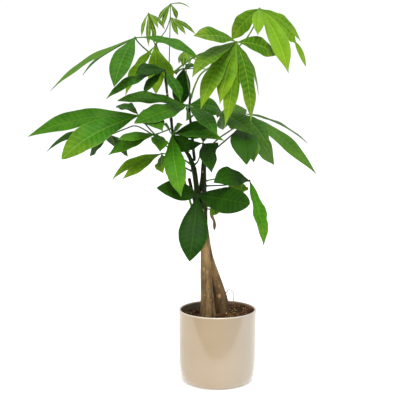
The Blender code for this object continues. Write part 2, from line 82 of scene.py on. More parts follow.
# Stems: (u, v, depth mm, radius mm) from the foot up.
STEMS = {
    "trunk_front": [
        (-10.0, 74, -12, 15.4),
        (-10.6, 87, -12, 13.4),
        (-11.3, 100, -11, 11.8),
        (-11.9, 113, -10, 10.6),
        (-12.3, 128, -9, 9.6),
        (-13.0, 146, -8, 8.6),
        (-14.2, 162, -8, 7.8),
        (-14.4, 177, -8, 7.3),
        (-13.9, 186, -8, 6.8),
        (-13.7, 191, -8, 5.4),
    ],
    "trunk_right": [
        (5.0, 77, 8, 14.4),
        (2.7, 92, 9, 13.4),
        (-1.3, 108, 9, 10.6),
        (-5.6, 122, 9, 9.2),
        (-9.4, 134, 10, 8.7),
        (-11.6, 146, 9.5, 8.4),
        (-13.2, 158, 9, 8.1),
        (-15.0, 170, 8.5, 8.0),
        (-15.4, 186, 8, 8.0),
        (-15.4, 202, 5, 7.6),
        (-14.7, 213, 3, 5.8),
        (-14.4, 224, 2, 4.9),
        (-13.6, 234, 2, 3.8),
        (-12.6, 240, 2, 2.8),
    ],
    "shoot_left": [
        (-20.2, 186, -6, 4.8),
        (-20.9, 197, -5, 5.0),
        (-22.0, 208, -4, 5.0),
        (-23.6, 219, -2, 4.9),
        (-26.0, 228, 0, 4.4),
        (-29.5, 236, 0, 3.7),
        (-34.0, 242, 0, 3.2),
        (-39.0, 247.5, 0, 3.0),
        (-43.5, 253, 0, 2.8),
        (-45.7, 261, 0, 2.7),
        (-47.0, 273, 0, 2.6),
        (-49.5, 286, 0, 2.5),
        (-51.0, 299, 0, 2.4),
        (-52.5, 311, 0, 2.3),
        (-54.0, 322, 0, 2.2),
        (-56.5, 333, 0, 2.0),
        (-60.0, 341, 0, 1.7),
        (-62.0, 347, 0, 1.3),
    ],
    "shoot_middle": [
        (-23.4, 231.5, 1, 2.9),
        (-24.6, 241, 0, 2.9),
        (-25.5, 251, 0, 2.7),
        (-26.5, 263, 0, 2.5),
        (-28.0, 273, 0, 2.4),
        (-28.7, 283, 0, 2.3),
        (-28.0, 291, 0, 2.1),
        (-27.5, 295, 0, 1.7),
    ],
    "pruned_stub": [
        (-18.7, 180, -13.5, 2.7),
        (-22.6, 186, -17, 2.7),
        (-24.6, 194, -18, 2.8),
        (-26.4, 202, -18, 2.9),
        (-28.6, 211.5, -16, 3.1),
    ],
    "dry_twig": [
        (-9.6, 182.0, -9.3, 1.2),
        (-8.4, 181.4, -9.5, 1.2),
        (-6.6, 178.6, -10, 2.0),
        (-4.9, 172, -12, 2.7),
        (-4.0, 166.5, -13, 2.5),
        (-2.8, 162, -13, 2.0),
    ],
}

# A thin dry rootlet loops out of the right trunk and back into the soil behind it.
ROOTLET = [(8.2, 98, 14, 0.9), (10.4, 101.2, 16, 0.8), (13.4, 100.4, 20, 0.7), (15.8, 96.8, 25, 0.7), (15.4, 91.5, 29, 0.7), (14.6, 86.6, 30, 0.8)]

# Leaves: tone, stem, hub place, stalk route from the hub to the stem, stalk radii (hub,
# foot) in mm, and the leaflets. A leaflet is: tip place (u, v, depth), width mm, the
# way its upper face looks (bearing from the front, + to the right, and pitch up, in
# degrees), and how far its middle stands off the straight line from hub to tip, in mm:
# to the upper face's side, and to its own left.
LEAVES = {
    "leaf_01_tip": ("young", "shoot_left", (-47.5, 387, -10),
        [(-48.3, 350, -9), (-49.2, 320, -9), (-51.0, 303, -6)], (0.9, 1.3), [
        (-60, 368, -24, 9, -10, 45, 3, 2),
        (-55.5, 362.4, -22, 9, 0, 35, 2, 2),
        (-42, 371, 2, 10, 10, 40, 3, -2),
        (-28, 383, -2, 7, 0, 70, 5, 0),
    ]),
    "leaf_02_young": ("young", "shoot_left", (-47.5, 373.5, 14),
        [(-51.5, 362, 12), (-57, 354, 8), (-61, 348.5, 3)], (0.9, 1.2), [
        (-39.5, 355, 6, 9, 10, 30, 2, 1),
        (-32, 356, 8, 10, 0, 30, 2, -1),
        (-22, 356, 18, 10, 0, 40, 4, -2),
    ]),
    "leaf_03_young": ("young", "shoot_left", (-69.5, 377.6, 2),
        [(-66, 364, 12), (-65, 352, 9), (-63.5, 342, 4)], (1.0, 1.3), [
        (-76.5, 354, -6, 8, -20, 30, 2, 2),
        (-69.5, 344, -14, 9, 0, 25, 3, 0),
        (-62.5, 349, -3, 9, 14, 34, 2, -1),
        (-59.5, 362, -10, 8, 0, 40, 2, -1),
        (-53, 361, -2, 9, 20, 40, 3, -3),
    ]),
    "leaf_04_upper_left": ("mid", "shoot_left", (-83, 353.5, -30),
        [(-80, 349, -22), (-75, 344, -8), (-66, 336, 6), (-56.5, 325, 5)], (1.3, 1.7), [
        (-169, 299, -50, 44, 0, 72, 9, 0),
        (-136, 315, 0, 30, 0, 70, 7, 0),
        (-104, 304, -130, 42, -5, 42, 8, 2),
        (-17, 330, -62, 34, 0, 62, 16, 0),
    ]),
    "leaf_05_lime": ("lime", "shoot_left", (-63, 345, -13),
        [(-61.6, 343, -5)], (1.3, 1.5), [
        (-92.6, 295, -22, 34, -40, 30, 6, 3),
        (-62, 297, -36, 32, 10, 30, 4, 0),
        (-46, 303, -40, 28, 30, 35, 4, 0),
    ]),
    "leaf_06_shaded": ("dark", "shoot_left", (-53, 321, -58),
        [(-51.5, 309, -52), (-50.6, 299, -34), (-50.8, 297, -5)], (1.3, 1.5), [
        (-82, 317, -100, 38, 0, 42, 6, 0),
        (-74, 297, -98, 24, -35, 20, 4, 3),
        (-112.6, 291.5, -110, 34, -10, 62, 10, 0),
        (-37, 289, -90, 28, 30, 40, 5, 0),
    ]),
    "leaf_07_young": ("young", "shoot_middle", (-33.5, 340.6, 12),
        [(-33, 332, 16), (-31.5, 318, 14), (-29.8, 306, 7), (-28.6, 298, 0)], (0.8, 1.2), [
        (-39.5, 327, 4, 10, 0, 30, 2, 0),
        (-35, 323, -2, 11, 0, 25, 2, 0),
        (-28, 326, 0, 11, 10, 30, 2, 0),
        (-22, 330, 14, 9, 10, 40, 2, 0),
    ]),
    "leaf_08_shaded": ("dark", "shoot_middle", (-34, 322, 40),
        [(-29.5, 307, 30), (-27.6, 291.5, 8)], (1.3, 1.6), [
        (-39.5, 285, 55, 36, 0, 10, 4, -1),
        (-42, 316, 95, 22, 0, 50, 4, 0),
        (-21, 325, 98, 24, 0, 50, 4, 0),
        (-5.5, 320, 48, 14, 0, 86, 3, 0),
    ]),
    "leaf_09_right_front": ("lime", "shoot_left", (18.5, 349, -60),
        [(6, 346, -56), (-9, 340, -50), (-21, 335.5, -40), (-36, 325.6, -18), (-49.8, 311.5, 2)], (1.4, 1.8), [
        (-25, 355, -130, 44, 0, 38, 7, 1),
        (-26, 313.5, -138, 40, -20, 45, 8, 4),
        (-17.5, 281, -128, 39, -25, 35, 8, 4),
        (1.6, 286, -112, 35, -10, 35, 6, 0),
        (6.5, 262.5, -112, 32, 35, 25, 6, 0),
        (33, 269, -92, 34, 35, 25, 6, -4),
        (40.5, 295, 38, 30, 50, 30, 6, -5),
        (60.5, 335, 10, 40, 0, 24, 6, -4),
        (51.5, 347, 25, 30, 0, 68, 4, 0),
    ]),
    "leaf_10_top_right": ("lime", "shoot_middle", (41.5, 382.5, 30),
        [(41, 376, 32), (28, 352, 26), (4, 331, 13), (-15, 319, 8), (-22, 308, 5), (-25.2, 293, 1)], (1.4, 1.8), [
        (13.5, 351, 60, 43, -20, 20, 5, 2),
        (39.7, 355, -40, 26, 30, 50, 5, 3),
        (70.5, 317, -34, 38, 0, 20, 7, -6),
        (83, 349, 108, 36, 0, 38, 6, -8),
        (88, 324, 80, 34, 20, 42, 8, -13),
    ]),
    "leaf_11_centre": ("mid", "shoot_middle", (-31, 286, -25),
        [(-29.2, 284, -6)], (1.3, 1.5), [
        (-101, 290, -42, 42, 0, 54, 9, 2),
        (-84, 267.5, -119, 48, 0, 45, 7, -4),
        (0, 255, -115, 36, 20, 40, 8, 0),
        (-32, 270, -85, 18, 70, 20, 3, 0),
        (3, 280, 52, 44, 0, 25, 10, 0),
    ]),
    "leaf_12_left_long": ("mid", "shoot_left", (-78.7, 275.6, -35),
        [(-71, 265, -24), (-60.5, 254.3, -12), (-51, 248.6, -7), (-40, 236, -6), (-29.5, 225.5, -4)], (1.4, 1.7), [
        (-190.5, 254, -40, 54, 0, 48, 13, 5),
        (-156.5, 231.5, -95, 56, 0, 42, 12, 4),
        (-60, 281, 20, 22, 0, 60, 4, 0),
        (-55, 259.5, -135, 44, 15, 45, 6, 0),
        (-102, 285, 35, 30, 0, 55, 6, 0),
    ]),
    "leaf_13_left_back": ("dark", "shoot_left", (-108, 256, 28),
        [(-93, 262, 26), (-82, 265, 22), (-68, 258, 16), (-57, 250, 10), (-45, 238, 8), (-34, 224.5, 5), (-27.5, 218.5, 3)], (1.2, 1.6), [
        (-172.4, 238, 20, 30, 0, 66, 22, 0),
        (-128.5, 234, 75, 34, 0, 40, 5, 0),
        (-103, 243, 95, 34, 0, 30, 5, 0),
        (-90, 234, 75, 24, 0, 40, 4, 0),
    ]),
    "leaf_14_left_centre": ("mid", "shoot_left", (-61, 257, -42),
        [(-53, 260, -24), (-47.6, 262.5, -5)], (1.2, 1.5), [
        (-101, 251, -95, 32, 0, 60, 4, 0),
        (-110.5, 235.5, -75, 40, 0, 60, 6, 0),
        (-58, 239, -92, 34, 20, 30, 4, 0),
    ]),
    "leaf_15_left_low": ("lime", "trunk_front", (-56.5, 237.5, -14),
        [(-50, 236, -12), (-42, 227, -10), (-34.5, 214, -10), (-31.5, 203, -11), (-28.6, 192, -10), (-25, 182, -9), (-19.5, 174, -9)], (1.3, 3.0), [
        (-96, 211.5, -60, 25, 0, 50, 4, 0),
        (-106.4, 210, -10, 27, 0, 52, 11, 4),
        (-54.6, 217, -75, 28, -30, 20, 3, 0),
    ]),
    "leaf_16_front_centre": ("fresh", "shoot_left", (-46, 257, -20),
        [(-45.4, 257.5, -7)], (1.3, 1.5), [
        (-36.6, 193.5, -100, 40, 0, 20, 6, 3),
        (7, 250, -92, 34, 0, 60, 5, 0),
        (-28, 239, -40, 34, 0, 0, 2, 0),
        (-5, 263, -42, 36, 0, 20, 2, 0),
        (-55, 267, -60, 18, 0, 30, 2, 0),
        (-35, 267, -55, 18, 0, 30, 2, 0),
    ]),
    "leaf_17_right_centre": ("grey", "shoot_middle", (3, 279, 5),
        [(-6, 281.5, -10), (-13, 283, -17), (-19.5, 279.5, -14), (-25.4, 274, -2)], (1.2, 1.5), [
        (35, 256, -75, 42, 0, 35, 6, 0),
        (5, 261, 75, 24, 0, 10, 3, 0),
        (17, 263, 72, 30, 0, 20, 4, 0),
        (29, 281, 88, 34, 0, 30, 5, 0),
        (-1, 273, -25, 14, 0, 30, 2, 0),
    ]),
    "leaf_18_right_long": ("grey", "trunk_right", (22, 278, 30),
        [(19, 266, 22), (2, 253.5, 10), (-6.5, 245.8, 5), (-11, 240, 3)], (1.4, 1.6), [
        (51.4, 243, -30, 38, 0, 45, 11, 0),
        (90.4, 247, 70, 38, 0, 78, 12, 0),
        (99, 216, 5, 38, 0, 58, 20, 5),
        (56.5, 225.5, 120, 42, 0, 30, 6, 0),
    ]),
    "leaf_19_right_hanging": ("dark", "trunk_right", (24, 265, -5),
        [(13.8, 256, -2), (5.7, 249, 0), (-6, 239, 1), (-12.2, 232.6, 2)], (1.4, 1.6), [
        (28.6, 226, -115, 52, 0, 30, 8, 0),
        (36, 228, -84, 40, 15, 30, 6, 0),
    ]),
    "leaf_20_inner": ("dark", "shoot_left", (-15, 248, -14),
        [(-17.5, 238, -7), (-20, 230, -4), (-23, 226, -2)], (1.1, 1.4), [
        (-6.3, 218, -100, 34, 10, 20, 5, 0),
        (-2, 238, -50, 36, 0, 30, 3, 0),
        (-11, 273, -16, 34, 0, 20, 2, 0),
        (-39, 243, -24, 24, 0, 25, 2, 0),
    ]),
    "leaf_21_right_low": ("dark", "trunk_right", (31.6, 210.4, -30),
        [(20, 208, -20), (8.6, 206, -12), (-10.5, 204.5, -1)], (1.3, 1.5), [
        (-4.4, 208, -105, 44, 0, 28, 6, 7),
        (45.7, 145, -60, 33, 38, 10, 6, -1),
    ]),
    "leaf_22_right_under": ("lime", "trunk_right", (25, 208, 12),
        [(8, 213, 9), (-3, 212, 5), (-9.5, 209.5, 3)], (1.1, 1.4), [
        (9.5, 202, 15, 26, 0, 50, 3, 0),
        (21.5, 197, -10, 28, 0, 20, 3, 0),
    ]),
    "leaf_23_front_low": ("dark", "trunk_front", (-20.5, 196.5, -32),
        [(-17.6, 191, -17)], (1.6, 1.9), [
        (-61.5, 203, -85, 44, 0, 28, 6, -3),
        (-28.5, 129.5, -112, 54, 0, 20, 8, -1),
        (32, 187, -130, 52, 0, 20, 8, 3),
    ]),
    "leaf_24_small_low": ("lime", "trunk_front", (3, 186, -40),
        [(-3, 185, -28), (-8.8, 184, -14)], (1.0, 1.3), [
        (-8, 175.6, -45, 20, 0, 30, 2, 0),
    ]),
}


# ---------------------------------------------------------------- materials


def srgb(r, g, b):
    """Linear colour of an 8-bit sRGB colour."""
    out = []
    for c in (r, g, b):
        c /= 255
        out.append(c / 12.92 if c <= 0.04045 else ((c + 0.055) / 1.055) ** 2.4)
    return (*out, 1.0)


class Nodes:
    """A short way to wire a material."""

    def __init__(self, name, roughness=0.5, specular=0.5, coat=0.0, coat_roughness=0.05, sheen=0.0):
        self.mat = bpy.data.materials.new(name)
        self.mat.use_nodes = True
        self.tree = self.mat.node_tree
        self.shader = self.tree.nodes["Principled BSDF"]
        self.shader.inputs["Roughness"].default_value = roughness
        self.shader.inputs["Specular IOR Level"].default_value = specular
        self.shader.inputs["Coat Weight"].default_value = coat
        self.shader.inputs["Coat Roughness"].default_value = coat_roughness
        self.shader.inputs["Sheen Weight"].default_value = sheen
        self.coords = self.new("ShaderNodeTexCoord").outputs["Object"]

    def new(self, kind, **values):
        node = self.tree.nodes.new(kind)
        for key, value in values.items():
            setattr(node, key, value)
        return node

    def put(self, socket, value):
        if isinstance(value, bpy.types.NodeSocket):
            self.tree.links.new(value, socket)
        else:
            socket.default_value = value

    def attribute(self, name, output="Fac"):
        return self.new("ShaderNodeAttribute", attribute_name=name).outputs[output]

    def split(self, vector):
        node = self.new("ShaderNodeSeparateXYZ")
        self.put(node.inputs[0], vector)
        return node.outputs

    def math(self, op, a, b=0.0, c=0.0):
        node = self.new("ShaderNodeMath", operation=op)
        for socket, value in zip(node.inputs, (a, b, c)):
            self.put(socket, value)
        return node.outputs[0]

    def noise(self, scale, detail=4.0, rough=0.55, stretch=None, distortion=0.0):
        coords = self.coords
        if stretch:
            mapping = self.new("ShaderNodeMapping")
            self.put(mapping.inputs["Vector"], coords)
            mapping.inputs["Scale"].default_value = stretch
            coords = mapping.outputs[0]
        node = self.new("ShaderNodeTexNoise")
        self.put(node.inputs["Vector"], coords)
        node.inputs["Scale"].default_value = scale
        node.inputs["Detail"].default_value = detail
        node.inputs["Roughness"].default_value = rough
        node.inputs["Distortion"].default_value = distortion
        return node.outputs["Fac"]

    def voronoi(self, scale, feature="F1", stretch=None, output="Distance"):
        coords = self.coords
        if stretch:
            mapping = self.new("ShaderNodeMapping")
            self.put(mapping.inputs["Vector"], coords)
            mapping.inputs["Scale"].default_value = stretch
            coords = mapping.outputs[0]
        node = self.new("ShaderNodeTexVoronoi", feature=feature)
        self.put(node.inputs["Vector"], coords)
        node.inputs["Scale"].default_value = scale
        return node.outputs[output]

    def ramp(self, value, low, high, to_low=0.0, to_high=1.0):
        node = self.new("ShaderNodeMapRange", interpolation_type="SMOOTHSTEP")
        for socket, v in zip(node.inputs, (value, low, high, to_low, to_high)):
            self.put(socket, v)
        return node.outputs[0]

    def mix(self, share, a, b, blend="MIX"):
        node = self.new("ShaderNodeMix", data_type="RGBA", blend_type=blend)
        self.put(node.inputs["Factor"], share)
        self.put(node.inputs["A"] if False else node.inputs[6], a)
        self.put(node.inputs[7], b)
        return node.outputs[2]

    def colour(self, value):
        self.put(self.shader.inputs["Base Color"], value)

    def rough(self, value):
        self.put(self.shader.inputs["Roughness"], value)

    def bump(self, height, distance, strength=1.0):
        node = self.new("ShaderNodeBump")
        node.inputs["Strength"].default_value = strength
        node.inputs["Distance"].default_value = distance
        self.put(node.inputs["Height"], height)
        self.put(self.shader.inputs["Normal"], node.outputs[0])


def leaf_material(name, deep, bright, vein, roughness=0.46, vein_share=0.5, specular=0.09, tip=None, tip_share=0.0):
    """A leaflet's upper side. Attribute leaf holds the share of the way out from the midrib,
    the share of the way along, and the vein count; rib holds the distance to the midrib in mm;
    tint is one number for the leaflet."""
    n = Nodes(name, roughness, specular)
    place = n.split(n.attribute("leaf", "Vector"))
    out, along, phase = place[0], place[1], place[2]
    rib, tint = n.attribute("rib"), n.attribute("tint")
    blotch = n.noise(34.0, 3.0, 0.6)
    fine = n.noise(420.0, 3.0, 0.6)
    cells = n.voronoi(1100.0)
    share = n.math("ADD", n.math("MULTIPLY", blotch, 0.9), n.math("MULTIPLY", n.math("SUBTRACT", tint, 0.5), 0.9))
    share = n.math("ADD", share, n.math("MULTIPLY", n.math("SUBTRACT", fine, 0.5), 0.25))
    body = n.mix(n.ramp(share, 0.05, 0.95), deep, bright)
    line = n.math("ABSOLUTE", n.math("SUBTRACT", n.math("FRACT", phase), 0.5))
    side_vein = n.math("MULTIPLY", n.ramp(line, 0.44, 0.5), n.ramp(out, 0.97, 0.6))
    quilt = n.ramp(line, 0.0, 0.5)
    mid = n.ramp(rib, 0.95, 0.30)
    body = n.mix(n.math("MULTIPLY", quilt, 0.22), body, bright)
    if tip:
        # The tip and the rim yellow first, in patches between the side veins.
        aged = n.math("MULTIPLY", n.ramp(n.math("ADD", along, n.math("MULTIPLY", out, 0.12)), 0.62, 0.86), n.ramp(blotch, 0.3, 0.55, 0.55, 1.0))
        body = n.mix(n.math("MULTIPLY", aged, tip_share), body, tip)
    lines = n.math("MAXIMUM", n.math("MULTIPLY", mid, vein_share), n.math("MULTIPLY", side_vein, vein_share * 0.42))
    body = n.mix(lines, body, vein)
    edge = n.math("MULTIPLY", n.ramp(out, 0.93, 1.0), 0.35)
    body = n.mix(edge, body, vein)
    n.colour(body)
    n.rough(n.math("ADD", n.math("MULTIPLY", fine, 0.16), roughness - 0.08))
    height = n.math("ADD", n.math("MULTIPLY", n.math("MAXIMUM", side_vein, mid), -0.5), n.math("MULTIPLY", cells, 0.12))
    height = n.math("ADD", height, n.math("MULTIPLY", n.noise(160.0, 3.0, 0.6), 0.5))
    n.bump(height, 0.0006, 0.6)
    return n.mat


def under_material(name, colour, rib_colour):
    """A leaflet's under side: paler and duller, with the veins standing out."""
    n = Nodes(name, 0.6, 0.12)
    place = n.split(n.attribute("leaf", "Vector"))
    out, phase = place[0], place[2]
    rib = n.attribute("rib")
    line = n.math("ABSOLUTE", n.math("SUBTRACT", n.math("FRACT", phase), 0.5))
    side_vein = n.math("MULTIPLY", n.ramp(line, 0.40, 0.5), n.ramp(out, 0.97, 0.6))
    mid = n.ramp(rib, 1.2, 0.4)
    lines = n.math("MAXIMUM", mid, n.math("MULTIPLY", side_vein, 0.5))
    shade = n.mix(n.noise(60.0, 3.0), tuple(c * 0.75 for c in colour[:3]) + (1,), colour)
    n.colour(n.mix(n.math("MULTIPLY", lines, 0.6), shade, rib_colour))
    n.rough(n.math("ADD", n.math("MULTIPLY", n.noise(300.0), 0.2), 0.5))
    n.bump(n.math("ADD", n.math("MULTIPLY", lines, 0.6), n.math("MULTIPLY", n.noise(260.0), 0.4)), 0.0006, 0.6)
    return n.mat


def stalk_material(name, colour, pale):
    n = Nodes(name, 0.45, 0.4)
    streaks = n.noise(120.0, 4.0, 0.6, (1, 1, 0.2))
    n.colour(n.mix(n.ramp(streaks, 0.25, 0.8), colour, pale))
    n.rough(n.math("ADD", n.math("MULTIPLY", n.noise(500.0), 0.2), 0.35))
    n.bump(n.noise(700.0, 4.0, 0.6, (1, 1, 0.25)), 0.0004, 0.5)
    return n.mat


TONES = {
    # tone: deep, bright, vein, roughness, vein share
    "young": (srgb(55, 95, 9), srgb(99, 141, 25), srgb(188, 202, 116), 0.46, 0.5),
    "lime": (srgb(58, 102, 4), srgb(112, 158, 18), srgb(170, 200, 76), 0.44, 0.42),
    "fresh": (srgb(40, 96, 4), srgb(76, 140, 16), srgb(132, 178, 66), 0.44, 0.42),
    "mid": (srgb(36, 86, 4), srgb(72, 126, 14), srgb(124, 166, 60), 0.46, 0.38),
    # The grey tone is a greyer, bluer green that paints the sheen of the white room on the right-hand leaves: a painted
    # reflection.
    "grey": (srgb(40, 82, 14), srgb(78, 120, 34), srgb(132, 164, 84), 0.48, 0.35),
    # The dark tone is a shaded copy of the green, for leaves inside, behind and under the crown: painted shade.
    "dark": (srgb(20, 54, 2), srgb(40, 84, 6), srgb(80, 116, 32), 0.46, 0.28),
}
TONES["tipped"] = (*TONES["fresh"][:2], srgb(150, 186, 84), 0.46, 0.5)
TIP_SHARES = {"lime": 0.26, "tipped": 0.25, "grey": 0.04, "fresh": 0.12}
LEAF_MATERIALS = {}
for tone, (deep, bright, vein, roughness, vein_share) in TONES.items():
    LEAF_MATERIALS[tone] = (
        leaf_material("leaf_" + tone, deep, bright, vein, roughness, vein_share, tip=srgb(150, 172, 44), tip_share=TIP_SHARES.get(tone, 0.0)),
        under_material("leaf_under_" + tone, tuple(0.5 * (a + b) for a, b in zip(deep, bright)), vein),
        stalk_material("stalk_" + tone, deep, bright),
    )


# ---------------------------------------------------------------- mesh helpers


class Builder:
    """Gathers points, faces, and per-point numbers for one piece."""

    def __init__(self):
        self.points, self.faces, self.materials = [], [], []
        self.leaf, self.rib, self.tint = [], [], []

    def add(self, points, faces, material=0, leaf=None, rib=None, tint=0.5):
        base = len(self.points)
        self.points += [tuple(p) for p in points]
        self.faces += [tuple(base + i for i in f) for f in faces]
        self.materials += [material] * len(faces)
        self.leaf += [tuple(x) for x in leaf] if leaf is not None else [(0.0, 0.0, 0.0)] * len(points)
        self.rib += list(rib) if rib is not None else [9.0] * len(points)
        self.tint += [tint] * len(points)

    def build(self, name, mats, slot, replaced=(), sharp=60):
        mesh = bpy.data.meshes.new(name)
        mesh.from_pydata(self.points, [], self.faces)
        mesh.polygons.foreach_set("material_index", self.materials)
        attribute = mesh.attributes.new("leaf", "FLOAT_VECTOR", "POINT")
        attribute.data.foreach_set("vector", np.array(self.leaf, np.float32).ravel())
        for key, values in (("rib", self.rib), ("tint", self.tint)):
            attribute = mesh.attributes.new(key, "FLOAT", "POINT")
            attribute.data.foreach_set("value", np.array(values, np.float32))
        for mat in mats:
            mesh.materials.append(mat)
        bm = bmesh.new()
        bm.from_mesh(mesh)
        bmesh.ops.recalc_face_normals(bm, faces=bm.faces)
        bm.to_mesh(mesh)
        bm.free()
        mesh.shade_smooth()
        mesh.set_sharp_from_angle(angle=math.radians(sharp))
        obj = bpy.data.objects.new(name, mesh)
        bpy.context.scene.collection.objects.link(obj)
        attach(obj, "root")
        if replaced:
            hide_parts(*replaced)
        return obj


def smooth_route(points, per_span):
    ends = [[2 * a - b for a, b in zip(points[0], points[1])]] + [list(p) for p in points]
    ends.append([2 * a - b for a, b in zip(points[-1], points[-2])])
    out = []
    for i in range(1, len(ends) - 2):
        p0, p1, p2, p3 = ends[i - 1 : i + 3]
        for k in range(per_span):
            t = k / per_span
            out.append([
                0.5 * (2 * b + (c - a) * t + (2 * a - 5 * b + 4 * c - d) * t**2 + (3 * b - a - 3 * c + d) * t**3)
                for a, b, c, d in zip(p0, p1, p2, p3)
            ])
    out.append(list(points[-1]))
    return out


def tube(route, sides, shape=None, round_ends=True):
    """Closed tube along (Vector, radius) pairs. shape(i, angle, centre, way) scales the radius."""
    if round_ends:
        extra = []
        for (a, r), (b, _) in ((route[0], route[1]), (route[-1], route[-2])):
            out = (a - b).normalized()
            extra.append([(a + out * r * math.sin(q), r * math.cos(q)) for q in (1.35, 0.9, 0.45)])
        route = extra[0] + route + extra[1][::-1]
    points, faces = [], []
    side = None
    for i, (centre, radius) in enumerate(route):
        ahead = (route[min(i + 1, len(route) - 1)][0] - route[max(i - 1, 0)][0]).normalized()
        if side is None:
            side = ahead.orthogonal().normalized()
        side = (side - ahead * side.dot(ahead)).normalized()
        other = ahead.cross(side)
        for k in range(sides):
            angle = 2 * math.pi * k / sides
            way = side * math.cos(angle) + other * math.sin(angle)
            r = radius * (shape(i / (len(route) - 1), angle, centre, way) if shape else 1.0)
            points.append(centre + way * r)
    for i in range(len(route) - 1):
        for k in range(sides):
            a, b = i * sides + k, i * sides + (k + 1) % sides
            faces.append((a, b, b + sides, a + sides))
    faces.append(tuple(reversed(range(sides))))
    last = (len(route) - 1) * sides
    faces.append(tuple(range(last, last + sides)))
    return points, faces


def lathe(profile, sides):
    points, faces, rings = [], [], []
    for r, z in profile:
        if r == 0:
            rings.append([len(points)])
            points.append(Vector((0, 0, z)))
            continue
        rings.append(list(range(len(points), len(points) + sides)))
        for k in range(sides):
            angle = 2 * math.pi * k / sides
            points.append(Vector((r * math.cos(angle), r * math.sin(angle), z)))
    for low, high in zip(rings, rings[1:]):
        for k in range(sides):
            n = (k + 1) % sides
            if len(low) == 1:
                faces.append((low[0], high[k], high[n]))
            elif len(high) == 1:
                faces.append((low[k], low[n], high[0]))
            else:
                faces.append((low[k], low[n], high[n], high[k]))
    return points, faces


def stem_route(name, per_span=1):
    return [(at(u, v, d), r * MM) for u, v, d, r in smooth_route(STEMS[name], per_span)]


def nearest_on_stem(point, stem):
    best = None
    route = stem_route(stem, 4)
    for (a, ra), (b, rb) in zip(route, route[1:]):
        t = min(1.0, max(0.0, (point - a).dot(b - a) / (b - a).length_squared))
        near, r = a.lerp(b, t), ra + (rb - ra) * t
        if best is None or (point - near).length < (point - best[0]).length:
            best = (near, r)
    return best


# ---------------------------------------------------------------- leaves

ALONG = 40
ACROSS = 12


